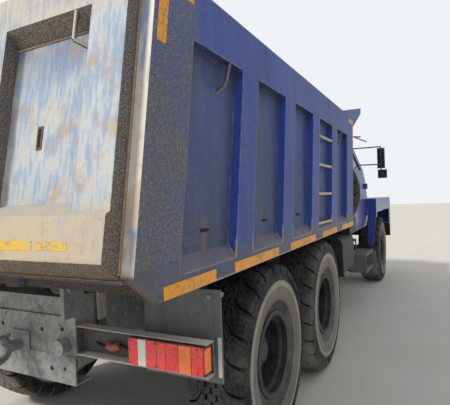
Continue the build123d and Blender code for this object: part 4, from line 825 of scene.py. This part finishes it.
def tread_block(shape, stations):
    """A chamfered block between two lines, each a share of a pitch and metres, at every x."""
    path = [(x, crown(x), LUG_DEEP, *lines) for x, *lines in stations]
    if path[-1][0] > 0.16:
        path += [(*foot, *path[-1][3:]) for foot in BAR_FOOT]
    rows = []
    for i, (x, r, deep, low, low_off, high, high_off) in enumerate(path):
        after, before = path[min(i + 1, len(path) - 1)], path[max(i - 1, 0)]
        run_x, run_r = after[0] - before[0], after[1] - before[1]
        length = hypot(run_x, run_r)
        out_x, out_r = -run_r / length * deep, run_x / length * deep
        start = groove_at(x) + low * PITCH + low_off / r
        end = groove_at(x) + high * PITCH + high_off / r
        cut = CHAMFER / r
        rows.append([at_turn(shape, x - out_x * sunk, r - out_r * sunk, turn) for turn, sunk in (
            (start - cut * 0.7, LUG_ROOT), (start, LUG_LIP), (start + cut, 0.0),
            (end - cut, 0.0), (end, LUG_LIP), (end + cut * 0.7, LUG_ROOT))])
    loft(shape, rows)


def shoulder_bar():
    """One long bar over the shoulder, forked and sliced at its inner end."""
    bar = bmesh.new()
    tail = [(x, 0, gap_here, 1, -gap_here) for x, gap_here in (
        (0.1065, 0.0062), (0.118, 0.0068), (0.135, 0.008), (0.152, 0.0095), (0.168, 0.0105))]
    tread_block(bar, [(0.041, 0.25, -0.009, 0.25, 0.009), (0.056, 0, 0.0062, 0.5, -0.0045),
                      (0.083, 0, BAR_GAP, 0.5, -0.004), (0.0865, 0, BAR_GAP, 1, -0.041),
                      (0.1035, 0, BAR_GAP, 1, -0.041)] + tail)
    tread_block(bar, [(0.041, 0.75, -0.009, 0.75, 0.009), (0.056, 0.5, 0.0045, 1, -0.0062),
                      (0.083, 0.5, 0.004, 1, -BAR_GAP)])
    tread_block(bar, [(x, 1, -SLICE_GAP, 1, -BAR_GAP) for x in (0.0863, 0.1035)])
    turn_outwards(bar)
    return bar


def crown_block(x_mid):
    """One blunt-cornered tread block, interlocked with its neighbours in the next row."""
    block = bmesh.new()
    rings = []
    for grow, sunk in BLOCK_TAPER:
        ring = []
        for dx, along in BLOCK_OUTLINE:
            x = x_mid + dx * grow
            r = crown(x) - LUG_DEEP * sunk
            ring.append(at_turn(block, x, r, along * grow / r))
        rings.append(ring)
    loft(block, rings)
    turn_outwards(block)
    return block


def tyre_rubber(name, dusty):
    """Dark tread rubber: dust packed between the lugs, dried over the sidewall and on its ridge."""
    rubber = Finish(name, Specular_IOR_Level=0.25)
    clean = rubber.node("ShaderNodeAttribute", {"attribute_name": "clean"}, out="Fac")
    fine = rubber.grain(70, 5, roughness=0.7)
    broad = rubber.grain(6, 3)
    # Paler on rear-facing faces low down.
    paler_rear_low = rubber.facing("Y").step(0.35, 0.9) * rubber.xyz()[2].step(TYRE_R, 0.2) * 0.5
    dust = (0.84 + dusty - clean * 0.84 + (fine - 0.5) * 0.6 + (broad - 0.5) * 0.5 + paler_rear_low).held()
    rubber.set("Base Color", rubber.layer(dust, (34, 36, 41), (176, 171, 160)))
    rubber.set("Roughness", dust * 0.15 + 0.72)
    rubber.relief(fine, 0.002, 0.5)
    return rubber


RUBBER = tyre_rubber("tyre_rubber", 0.0)
DUSTY_RUBBER = tyre_rubber("dusty_tyre_rubber", 0.1)


def whole_tyre():
    """One tyre about the X axis, outboard at +X, with how clean each of its points is."""
    whole = bmesh.new()
    turned(whole, list(CARCASS) + [(-x, r) for x, r in reversed(CARCASS[1:-1])],
           TYRE_SEGMENTS)
    turn_outwards(whole)
    for side, first_turn in ((1, 0.0), (-1, -PITCH / 2)):
        bars = repeated(shoulder_bar(), SHOULDER_BARS, first_turn, RUBBER)
        if side < 0:
            bars.transform(Matrix.Scale(-1, 4, (1, 0, 0)))
            bars.flip_normals()
        whole.from_mesh(bars)
    for row, x_mid in enumerate(CROWN_ROWS):
        first_turn = -groove_at(0.05) - (row % 2) * PITCH / 4
        whole.from_mesh(repeated(crown_block(x_mid), CROWN_BLOCKS, first_turn, RUBBER))
    for face in whole.faces:
        face.material_index = 0
    clean = whole.verts.layers.float.new("clean")
    for vertex in whole.verts:
        r = hypot(vertex.co.y, vertex.co.z)
        on_tread = r > crown(vertex.co.x) - LUG_DEEP * 0.5
        vertex[clean] = CLEAN_TREAD if on_tread else next(c for low, c in CLEAN_FROM if r > low)
    return whole


TYRE = whole_tyre()


def fit_tyre(node, body, place, rubber):
    """Puts a tyre in a node's place."""
    shape = TYRE.copy()
    shape.transform(place)
    if place.determinant() < 0:
        bmesh.ops.reverse_faces(shape, faces=shape.faces)
    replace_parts(piece(f"{node}_tread", shape, [rubber], body), node)


PLACES = ("front", "middle", "rear")
WHEELS = {}  # place and side: the wheel's matrix, mirrored on the right
for place in PLACES:
    for side, sign in (("right", -1), ("left", 1)):
        matrix = (Matrix.Translation(middle_of(f"tyre_{place}_{side}"))
                  @ Matrix.Scale(sign, 4, (1, 0, 0)))
        WHEELS[place, side] = matrix
        fit_tyre(f"tyre_{place}_{side}", f"wheel_{place}_{side}", matrix,
                 DUSTY_RUBBER if place == "middle" else RUBBER)
fit_tyre("spare_tyre", "chassis", Matrix.Translation(middle_of("spare_tyre"))
         @ Matrix.Rotation(radians(90), 4, "Z"), RUBBER)

# Rims. Pressed steel, painted grey, with studs on the disc and an eight-sided hub cap, all under
# caked mud that has broken off round the nuts.
HUB_STUDS, STUD_CIRCLE_R, FIRST_STUD = 10, 0.146, 0.2
CAP_BOLTS, CAP_CIRCLE_R = 8, 0.092
HUB_CAP = ((0.014, 0.09), (0.014, 0.122), (0.044, 0.122), (0.056, 0.104), (0.0605, 0.078),
           (0.05, 0.07))  # x, r
NUT_AND_STUD = ((-0.074, 0.026, 0.019, 6), (-0.05, 0.016, 0.009, 8))  # x, length, r, sides
CAP_BOLT = ((0.0, 0.0005), (0.0, 0.007), (0.066, 0.007), (0.069, 0.0005))  # x, r
CLEAR_OF_HUBS = 99.0  # y for the spare, where no hub throws mud


def rim_coat(place, y_mid):
    """Rim paint with mud packed in the barrel's foot and splashed outwards from the hub."""
    coat = Finish(f"rim_coat_{place}", Specular_IOR_Level=0.3)
    _, y, z = coat.xyz()
    fine = coat.grain(45, 5, roughness=0.7)
    broad = coat.grain(7, 4)
    out = (y - y_mid) * (y - y_mid) + (z - TYRE_R) * (z - TYRE_R)
    mud = (0.1 + out.step(0.062, 0.078) * 0.3 + (fine - 0.5) * 0.7 + (broad - 0.5) * 0.8).held()
    paint = coat.layer(out.step(0.03, 0.02), (38, 40, 45), (66, 71, 86))
    coat.set("Base Color", coat.layer(mud, paint, (118, 111, 101)))
    coat.set("Roughness", mud * 0.3 + 0.5)
    coat.relief(fine, 0.002, 0.4)
    return coat


def wheel_nut():
    """One six-sided nut on its stud, at the disc's bolt circle."""
    nut = bmesh.new()
    for start, length, radius, sides in NUT_AND_STUD:
        turned(nut, [(start, 0.0005), (start, radius), (start + length * 0.85, radius),
                     (start + length, radius * 0.82), (start + length, 0.0005)], sides,
               smooth=False)
    nut.transform(Matrix.Translation((0, 0, STUD_CIRCLE_R)))
    turn_outwards(nut)
    return nut


def cap_bolt():
    bolt = bmesh.new()
    turned(bolt, CAP_BOLT, 6, smooth=False)
    bolt.transform(Matrix.Translation((0, 0, CAP_CIRCLE_R)))
    return bolt


nut_steel = metal("nut_steel", (96, 96, 98), (104, 86, 70), roughness=0.5, bare=0.6)
rim_coats = {place: rim_coat(place, WHEELS[place, "right"].translation.y) for place in PLACES}
for (place, side), matrix in WHEELS.items():
    show(f"rim_{place}_{side}", rim_coats[place])
    nuts = bmesh.new()
    nuts.from_mesh(repeated(wheel_nut(), HUB_STUDS, FIRST_STUD, nut_steel))
    turned(nuts, HUB_CAP, CAP_BOLTS, slot=1, smooth=False)
    nuts.from_mesh(repeated(cap_bolt(), CAP_BOLTS, pi / CAP_BOLTS, nut_steel))
    bmesh.ops.transform(nuts, verts=nuts.verts, matrix=matrix)
    turn_outwards(nuts)
    piece(f"nuts_{place}_{side}", nuts, [nut_steel, rim_coats[place]], f"wheel_{place}_{side}")
show("spare_wheel", rim_coat("spare", CLEAR_OF_HUBS))

# Rear lamps. One long lens pack in each open steel box bracket: red and clear and red, a red
# reflector, red and amber, with an amber end window. Moulded plastic, screwed at the corners.
BRACKET_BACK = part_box("lamp_brackets")[1].y
LENS_IN, LENS_OUT = 0.80, 1.22
LENS_LOW, LENS_TOP = 0.885, 1.02
LENS_FACE = BRACKET_BACK + 0.018
LENS_BACK = BRACKET_BACK - 0.052
RED, CLEAR, AMBER, REFLECTOR, HOUSING, SCREW, HEAD_GLASS = range(7)
LENS_TABLE = (  # share of the length from inboard, share to, finish, raised
    (0.0, 0.132, RED, 0.003), (0.137, 0.248, CLEAR, 0.004), (0.253, 0.396, RED, 0.002),
    (0.404, 0.518, REFLECTOR, 0.004), (0.522, 0.688, RED, 0.003), (0.693, 0.848, AMBER, 0.004),
    (0.853, 0.992, RED, 0.002))
SCREWS, SCREW_INSET = (0.03, 0.385, 0.425, 0.93), 0.014
SCREW_HEAD = (  # depth, r
    (0.0, 0.0004), (0.0, 0.0045), (0.006, 0.0045), (0.0075, 0.002), (0.0075, 0.0004))


def lens(name, colour, dust):
    """Moulded lamp plastic: bright inside, with fine flutes and a film of dust."""
    plastic = Finish(name, Specular_IOR_Level=0.5)
    fine = plastic.grain(70, 4, roughness=0.7)
    flutes = plastic.bands(38.0)
    film = (dust + (fine - 0.5) * 1.1 + (plastic.grain(9, 3) - 0.5) * 0.7).held() * 0.5
    deep = (*(c * 0.86 for c in tint(*colour)[:3]), 1.0)
    plastic.set("Base Color", plastic.layer(film, plastic.layer(flutes, deep, colour),
                                            (240, 190, 182)))
    plastic.set("Roughness", film * 0.6 + 0.2)
    plastic.relief(flutes, 0.0012, 0.5)
    return plastic


lamp_finishes = [lens("lens_red", (252, 30, 48), 0.25), lens("lens_clear", (244, 240, 232), 0.25),
                 lens("lens_amber", (255, 128, 20), 0.25),
                 lens("lens_reflector", (255, 60, 44), 0.2),
                 mottled("lamp_housing", 40, 4, (30, 30, 32), (110, 102, 92), 0.6,
                         lambda grain: (grain - 0.2).held()), nut_steel]
lamp_set = bmesh.new()
for side in (-1, 1):
    def across(share):
        return side * (LENS_IN + share * (LENS_OUT - LENS_IN))

    soft_box(lamp_set, (across(0), LENS_BACK, LENS_LOW), (across(1), LENS_FACE - 0.012, LENS_TOP),
             0.008, HOUSING)
    for start, end, finish, raised in LENS_TABLE:
        soft_box(lamp_set, (across(start), LENS_FACE - 0.02, LENS_LOW + 0.004),
                 (across(end), LENS_FACE + raised - 0.004, LENS_TOP - 0.004), 0.0035, finish)
    soft_box(lamp_set, (side * (LENS_OUT - 0.003), LENS_BACK + 0.006, LENS_LOW + 0.012),
             (side * (LENS_OUT + 0.007), LENS_FACE - 0.014, LENS_TOP - 0.012), 0.004, AMBER)
    for share in SCREWS:
        for z in (LENS_LOW + SCREW_INSET, LENS_TOP - SCREW_INSET):
            screw = bmesh.new()
            turned(screw, SCREW_HEAD, 8)
            screw.transform(Matrix.Translation((across(share), LENS_FACE - 0.006, z))
                            @ Matrix.Rotation(radians(90), 4, "Z"))
            merge(lamp_set, screw, SCREW)

# Lamp plugs. A moulded plug of red-brown rubber at the dark inboard end of each bracket, with a
# short black rubber lead out of each end of it.
PLUG_PARTS = (  # path, radius, sides, finish
    (((0.70, 3.742, 0.945), (0.66, 3.748, 0.935), (0.625, 3.746, 0.94)), 0.021, 12, 0),
    (((0.625, 3.746, 0.94), (0.58, 3.74, 0.925), (0.53, 3.735, 0.94)), 0.007, 10, 1),
    (((0.70, 3.742, 0.945), (0.75, 3.735, 0.93), (0.81, 3.735, 0.95)), 0.007, 10, 1))
plugs = bmesh.new()
for side in (-1, 1):
    for path, radius, sides, slot in PLUG_PARTS:
        rod(plugs, [(side * x, y, z) for x, y, z in path], radius, sides, slot=slot)
plug_rubber = mottled("plug_rubber", 45, 4, (176, 66, 48), (150, 118, 100), 0.6,
                      lambda grain: grain.step(0.4, 0.6))
lead_rubber = mottled("lead_rubber", 45, 3, (22, 22, 23), (86, 80, 74), 0.7)
piece("lamp_plugs", plugs, [plug_rubber, lead_rubber], "chassis")

# Headlamps. Round ribbed glass in a pressed steel bezel, let into the front of each wing. The glass
# is silvery, as it looks over its reflector.
HEAD_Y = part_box("lamps")[0].y
HEAD_X, HEAD_Z, HEAD_DEEP = 0.92, 1.35, 0.046
BEZEL = (  # depth, r
    (0.0, 0.0005), (0.0, 0.103), (0.02, 0.105), (0.036, 0.1), (0.045, 0.092), (0.036, 0.086),
    (0.03, 0.08), (0.03, 0.0005))
GLASS = ((0.028, 0.0005), (0.028, 0.086), (0.036, 0.084), (0.043, 0.06), (0.0455, 0.03),
         (HEAD_DEEP, 0.0005))
for side in (-1, 1):
    head = bmesh.new()
    turned(head, BEZEL, 40, slot=SCREW)
    turned(head, GLASS, 40, slot=HEAD_GLASS)
    head.transform(Matrix.Translation((side * HEAD_X, HEAD_Y + HEAD_DEEP, HEAD_Z))
                   @ Matrix.Rotation(radians(-90), 4, "Z"))
    merge(lamp_set, head)
head_glass = Finish("head_glass", roughness=0.12, Metallic=0.6, Coat_Weight=1.0)
ribbed = head_glass.bands(22.0)
head_glass.set("Base Color", head_glass.layer(ribbed, (120, 124, 128), (206, 208, 208)))
head_glass.relief(ribbed, 0.003, 0.6)
lamp_piece = piece("lamp_lenses", lamp_set, [*lamp_finishes, head_glass], "chassis")
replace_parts(lamp_piece, "lamps")

# Lamp brackets and mudflaps. Folded steel channels bolted to the rails, pale on top with dust and
# painted light; the flaps are thick grey rubber sheet with a white marker strip at the outer foot.
BRACKET_Z, BRACKET_HALF = 0.953, 0.072
FLAP_EDGE, FLAP_FACE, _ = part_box("mudflaps")[1]
MARKER_WIDE, MARKER_Z = 0.02, (0.83, 1.02)


def bracket_dirt(paint):
    """Pale dust on what faces up or rearwards, with painted light on top, and little inside the
    channel.
    """
    off_middle = abs(paint.xyz()[2] - BRACKET_Z)
    film = paint.facing("Z").step(0.5, 0.9) * 0.5 + paint.facing("Y").step(0.6, 0.9) * 0.3
    inside = off_middle.step(BRACKET_HALF + 0.002, BRACKET_HALF - 0.002)
    return film - inside * 1.1, -0.3


# The very pale dust colour also stands for painted light on the tops.
show("lamp_brackets", dusty_paint(
    "bracket_paint", (70, 70, 72), (98, 97, 96), (224, 219, 206), 0.3, 0.0, gloss=0.6,
    where=bracket_dirt, grime=(150, 140, 124), streaks=0.1))
show("mudflaps", dusty_paint("flap_rubber", (88, 91, 95), (108, 110, 112), (146, 144, 138), 0.25,
                             -0.2, gloss=0.65, worn=0.0))
white = dusty_paint("marker_white", (236, 236, 232), (220, 218, 210), (170, 164, 152), 0.1,
                    worn=0.0)
strips = bmesh.new()
for side in (-1, 1):
    edge = FLAP_EDGE - 0.002
    soft_box(strips, (side * (edge - MARKER_WIDE), FLAP_FACE - 0.001, MARKER_Z[0]),
             (side * edge, FLAP_FACE + 0.002, MARKER_Z[1]), 0.0012)
piece("flap_markers", strips, [white], "chassis")

# The cab. Pressed steel shell with a forward-hinged bonnet and flat-topped wings, sprayed the same
# blue and kept shinier than the body, with dust on every ledge and along the sills.
MIRRORS_FROM = 1.115


def cab_dirt(paint):
    z = paint.xyz()[2]
    return z.step(1.45, 1.0) * 0.08, z.step(1.3, 0.9) * 0.3 - 0.2


def black_mirrors(paint, coat):
    """The mirror heads and their arms are black plastic and black tube."""
    black = paint.layer(paint.grain(40, 4), (34, 35, 38), (72, 72, 72))
    return paint.layer(abs(paint.xyz()[0]).step(MIRRORS_FROM, MIRRORS_FROM + 0.01), coat, black)


def cab_blue(name, over=None):
    paint = dusty_paint(name, (36, 60, 138), (50, 78, 158), (140, 136, 128), -0.02, -0.1,
                        gloss=0.28, where=cab_dirt, grime=(112, 102, 88), over=over, streaks=0.2)
    paint.set("Coat Weight", 0.25)
    return paint


cab_paint = cab_blue("cab_paint")
door_paint = cab_blue("door_paint", black_mirrors)
bumper_paint = dusty_paint("bumper_paint", (54, 56, 60), (78, 80, 83), (150, 144, 132), 0.15,
                           streaks=0.1)
step_paint = dusty_paint("step_paint", (66, 68, 74), (96, 98, 104), (156, 150, 140), 0.25,
                         gloss=0.55, streaks=0.1)
tank_paint = dusty_paint("tank_paint", (32, 34, 38), (50, 52, 57), (112, 108, 101), 0.08,
                         gloss=0.5, streaks=0.2)
for paint, nodes in ((cab_paint, ("cab_shell", "bonnet", "front_wings")),
                     (door_paint, ("door_right", "door_left")),
                     (bumper_paint, ("radiator_grille", "front_bumper")),
                     (step_paint, ("cab_steps",)), (tank_paint, ("side_tanks", "tool_boxes"))):
    for node in nodes:
        show(node, paint)

# Rivets and bolts. Round heads in two rows along each chassis rail, hexagon bolts through the
# bumper and the mudflaps, all under the same dust as what they hold.
RIVETS, RIVET_PITCH, FIRST_RIVET = 66, 0.112, -3.9
RAIL_X, RIVET_ROWS = 0.4305, (0.865, 0.995)
BUMPER_FACE = cad_box[0][1] + 0.0075
BUMPER_BOLT_X, BUMPER_BOLT_Z = (0.30, 0.80, 1.05), (0.83, 0.97)
FLAP_BOLT_X, FLAP_BOLT_Z = (0.84, 1.0, 1.18), 1.21
# Each fixing's radius, rise, sides, and the outline of its head in shares of the first two.
ROUND_HEAD = (0.011, 0.007, 8, ((1.0, 0.0), (0.86, 0.6), (0.5, 0.9)))
BUMPER_BOLT = (0.016, 0.007, 6, ((1.0, -0.6), (1.0, 0.8), (0.85, 0.99)))
FLAP_BOLT = (0.012, 0.008, 6, ((1.0, -0.4), (1.0, 0.8), (0.85, 1.0)))
fixings = bmesh.new()


def fixing(centre, out, kind):
    """One fixing's head, standing out from a face."""
    radius, rise, sides, outline = kind
    out = Vector(out)
    across = out.orthogonal().normalized()
    loft(fixings, [circle(fixings, Vector(centre) + out * rise * height, radius * share, across,
                          out.cross(across), sides) for share, height in outline])


for side in (-1, 1):
    for i in range(RIVETS):
        for z in RIVET_ROWS:
            fixing((side * RAIL_X, FIRST_RIVET + i * RIVET_PITCH, z), (side, 0, 0), ROUND_HEAD)
    for x in BUMPER_BOLT_X:
        for z in BUMPER_BOLT_Z:
            fixing((side * x, BUMPER_FACE, z), (0, -1, 0), BUMPER_BOLT)
    for x in FLAP_BOLT_X:
        fixing((side * x, FLAP_FACE, FLAP_BOLT_Z), (0, 1, 0), FLAP_BOLT)
turn_outwards(fixings)
piece("rivets_and_bolts", fixings, [frame_paint], "chassis")

# Cab glass. Flat toughened panes, set in rubber in the cab's openings and in both doors. The glass
# is faintly green, under a patchy film of dust.
pane = Finish("pane", Base_Color=(196, 206, 204), Transmission_Weight=0.92, IOR=1.45)
film = (pane.grain(18, 4) * 0.5 + pane.grain(2.5, 3) * 0.5).step(0.45, 0.7)
pane.set("Roughness", film * 0.25 + 0.03)
for node in ("cab_glass", "door_glass_right", "door_glass_left"):
    show(node, pane)

# Glazing rubber. A bead of black moulded rubber, pressed in round the edge of every pane, seats it
# in its opening.
BEAD_OUT = 0.006
BEAD_R = 0.0075
PANE_SHARE = 0.995  # how far out on the pane the bead lies
CAB_MIDDLE_Y = -1.36


def panes_of(node):
    """The separate panes of a node, each as its points, in the same order each time."""
    whole = bmesh.new()
    whole.from_mesh(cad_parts[node].data)
    bmesh.ops.remove_doubles(whole, verts=whole.verts, dist=0.0002)
    left = set(whole.verts)
    for first in whole.verts:
        if first not in left:
            continue
        island = [first]
        left.remove(first)
        for vertex in island:
            for link in vertex.link_edges:
                other = link.other_vert(vertex)
                if other in left:
                    left.remove(other)
                    island.append(other)
        yield island
    whole.free()


def gasket(shape, node):
    """A bead around each pane of a node, on its outer face."""
    for island in panes_of(node):
        middle = sum((v.co for v in island), Vector()) / len(island)
        faces = [face for v in island for face in v.link_faces]
        outward = max(faces, key=lambda face: face.calc_area()).normal.copy()
        if outward.dot(middle - Vector((0, CAB_MIDDLE_Y, middle.z))) < 0:
            outward.negate()
        across = outward.cross(Vector((0, 0, 1))).normalized()
        upward = across.cross(outward).normalized()
        flat = [((v.co - middle).dot(across), (v.co - middle).dot(upward)) for v in island]
        ring = [Vector(flat[i]) * PANE_SHARE for i in convex_hull_2d(flat)]
        loop = [middle + across * p.x + upward * p.y + outward * BEAD_OUT for p in ring]
        rod(shape, loop + [loop[0], loop[0].lerp(loop[1], 0.05)], BEAD_R, 8, False)


rubber_bead = mottled("glazing_rubber", 60, 4, (24, 24, 25), (92, 88, 82), 0.7,
                      lambda grain: grain * 0.6)
for name, glass, body in (("cab_glazing_rubber", "cab_glass", "chassis"),
                          ("door_glazing_rubber_right", "door_glass_right", "door_right"),
                          ("door_glazing_rubber_left", "door_glass_left", "door_left")):
    bead = bmesh.new()
    gasket(bead, glass)
    piece(name, bead, [rubber_bead], body)

# Wipers. Two steel arms with rubber blades, both black, parked low across the screen. Each arm
# turns on a small block at the foot of the screen.
WIPERS = ((0.42, -0.10), (-0.30, -0.78))  # x of the arm's foot and of the blade's tip
SCREEN_FOOT, SCREEN_RAKE = (-2.02, 1.93), 0.324  # y and z, and how far it leans back a metre
ARM_R, BLADE_R = 0.006, 0.0045
wipers = bmesh.new()


def on_screen(x, z, out):
    """A point off the outer face of the raked screen panel."""
    y_foot, z_foot = SCREEN_FOOT
    return (x, y_foot + (z - z_foot) * SCREEN_RAKE - out, z)


for foot, tip in WIPERS:
    rod(wipers, [on_screen(foot, 1.965, 0.018), on_screen((foot * 2 + tip) / 3, 2.02, 0.02),
                 on_screen(tip * 0.55 + foot * 0.45, 2.07, 0.014)], ARM_R, 8)
    rod(wipers, [on_screen(foot - 0.02, 2.062, 0.006),
                 on_screen(tip * 0.5 + foot * 0.5, 2.066, 0.009), on_screen(tip, 2.085, 0.006)],
        BLADE_R, 8)
    soft_box(wipers, (foot - 0.02, -2.035, 1.945), (foot + 0.02, -2.006, 1.985), 0.006)
piece("wipers", wipers, [rubber_bead], "chassis")

# Mirror glass. A tall pane and a wide-angle pane below it on each door, silvered glass let into
# the rear face of the plastic heads, under a film of dust.
MIRROR_PANES = ((1.297, 1.393, 2.097, 2.408), (1.300, 1.420, 1.935, 2.055))  # x, x, z, z
MIRROR_FACE = (-1.906, -1.9035)
silvered = Finish("mirror_glass", Base_Color=(120, 126, 134), Metallic=1.0)
silvered.set("Roughness", silvered.grain(30, 4) * 0.3)
for side, sign in (("right", -1), ("left", 1)):
    panes = bmesh.new()
    for x0, x1, z0, z1 in MIRROR_PANES:
        soft_box(panes, (sign * x0, MIRROR_FACE[0], z0), (sign * x1, MIRROR_FACE[1], z1), 0.001)
    piece(f"mirror_glass_{side}", panes, [silvered], f"door_{side}")

# Inside the cab. A dash and wheel rim of moulded black plastic, and seats of stuffed pads in worn
# grey cloth with piped edges, on low boxes.
dash_plastic = mottled("dash_plastic", 30, 4, (30, 31, 33), (74, 72, 68), 0.6,
                       lambda grain: (grain - 0.1).held())
dash_plastic.relief(dash_plastic.grain(420, 2), 0.0006, 0.5)
show("dashboard", dash_plastic)
show("steering_wheel", dash_plastic)
cloth = Finish("seat_cloth", roughness=0.9)
weave = cloth.bands(160.0, 1.0)
cloth.set("Base Color", cloth.layer(cloth.grain(8, 4) * 0.6 + weave * 0.4, (62, 64, 70),
                                    (96, 96, 98)))
cloth.relief(weave, 0.001, 0.5)
piping = mottled("seat_piping", 60, 3, (26, 27, 30), (52, 52, 54), 0.7)
PAD_GRID = (44, 32)
DRAWN_IN = 0.035
CHANNEL_DEEP, CHANNEL_WIDE = 0.011, 0.006
PIPING_R = 0.005
SEAT_FRAMES = (  # in from the seat's sides, from y, to y, from z, to z, rounding
    (0.03, -1.30, -0.87, 1.176, 1.372, 0.012), (0.02, -0.822, -0.794, 1.30, 2.08, 0.01))
PADS = (  # part, y and z of its middle, along, up, half its length, half its thickness
    ("cushion", -1.11, 1.436, (0, -1, 0), (0, 0, 1), 0.21, 0.064),
    ("back", -0.858, 1.80, (0, 0, 1), (0, -1, 0), 0.312, 0.038))
SEATS = (  # name, from x, to x, sewn channels
    ("driver", 0.26, 0.78, (("u", -0.42), ("u", 0.42), ("v", 0.1))),
    ("passenger", -0.78, 0.14, (("u", 0.0), ("u", -0.5), ("u", 0.5), ("v", 0.1))))


def pad(shape, middle, along, up, halves, channels):
    """A stuffed pad: crowned top, sides drawn in between the corners, sewn channels, piped edge."""
    a, b, h = halves
    nu, nv = PAD_GRID

    def point(i, j, top=True):
        u, v = spread(i, nu), spread(j, nv)
        pull_u = 1 - DRAWN_IN * (1 - v * v) * abs(u) ** 6
        pull_v = 1 - DRAWN_IN * (1 - u * u) * abs(v) ** 6
        height = -h
        if top:
            crowned = ((1 - abs(u) ** 5) * (1 - abs(v) ** 5)) ** 0.45
            height = -h * 0.1 + h * 1.1 * crowned
            for kind, where in channels:
                gap = (u - where) * a if kind == "u" else (v - where) * b
                height -= CHANNEL_DEEP * crowned / (1 + (gap / CHANNEL_WIDE) ** 2)
        return middle + Vector((u * a * pull_u, 0, 0)) + along * (v * b * pull_v) + up * height

    def spread(i, count):
        """Grid lines from -1 to 1, closer together towards the edges."""
        t = -1 + 2 * i / count
        return (1 - (1 - abs(t)) ** 1.6) * (1 if t > 0 else -1)

    top = [[shape.verts.new(point(i, j)) for j in range(nv + 1)] for i in range(nu + 1)]
    rim = [(i, 0) for i in range(nu)] + [(nu, j) for j in range(nv)]
    rim += [(nu - i, nv - j) for i, j in rim]
    low = [shape.verts.new(point(i, j, top=False)) for i, j in rim]
    for i in range(nu):
        for j in range(nv):
            corners = (top[i][j], top[i + 1][j], top[i + 1][j + 1], top[i][j + 1])
            shape.faces.new(corners).smooth = True
    loft(shape, [low, [top[i][j] for i, j in rim]], smooth=True, capped=False)
    shape.faces.new(low)
    edge = [top[i][j].co.copy() for i, j in rim[::2]]
    turn_outwards(shape)
    rod(shape, edge + [edge[0]], PIPING_R, 6, False, slot=1)


seat_frames = bmesh.new()
for name, x0, x1, channels in SEATS:
    for inset, y0, y1, z0, z1, round_by in SEAT_FRAMES:
        soft_box(seat_frames, (x0 + inset, y0, z0), (x1 - inset, y1, z1), round_by)
    for part, y, z, along, up, half_length, half_thick in PADS:
        shape = bmesh.new()
        pad(shape, Vector(((x0 + x1) / 2, y, z)), Vector(along), Vector(up),
            ((x1 - x0) / 2 - 0.006, half_length, half_thick), channels)
        made = piece(f"{name}_seat_{part}", shape, [cloth, piping], "chassis")
        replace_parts(made, "seats")
frames_piece = piece("seat_frames", seat_frames, [dash_plastic], "chassis")
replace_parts(frames_piece, "seats")
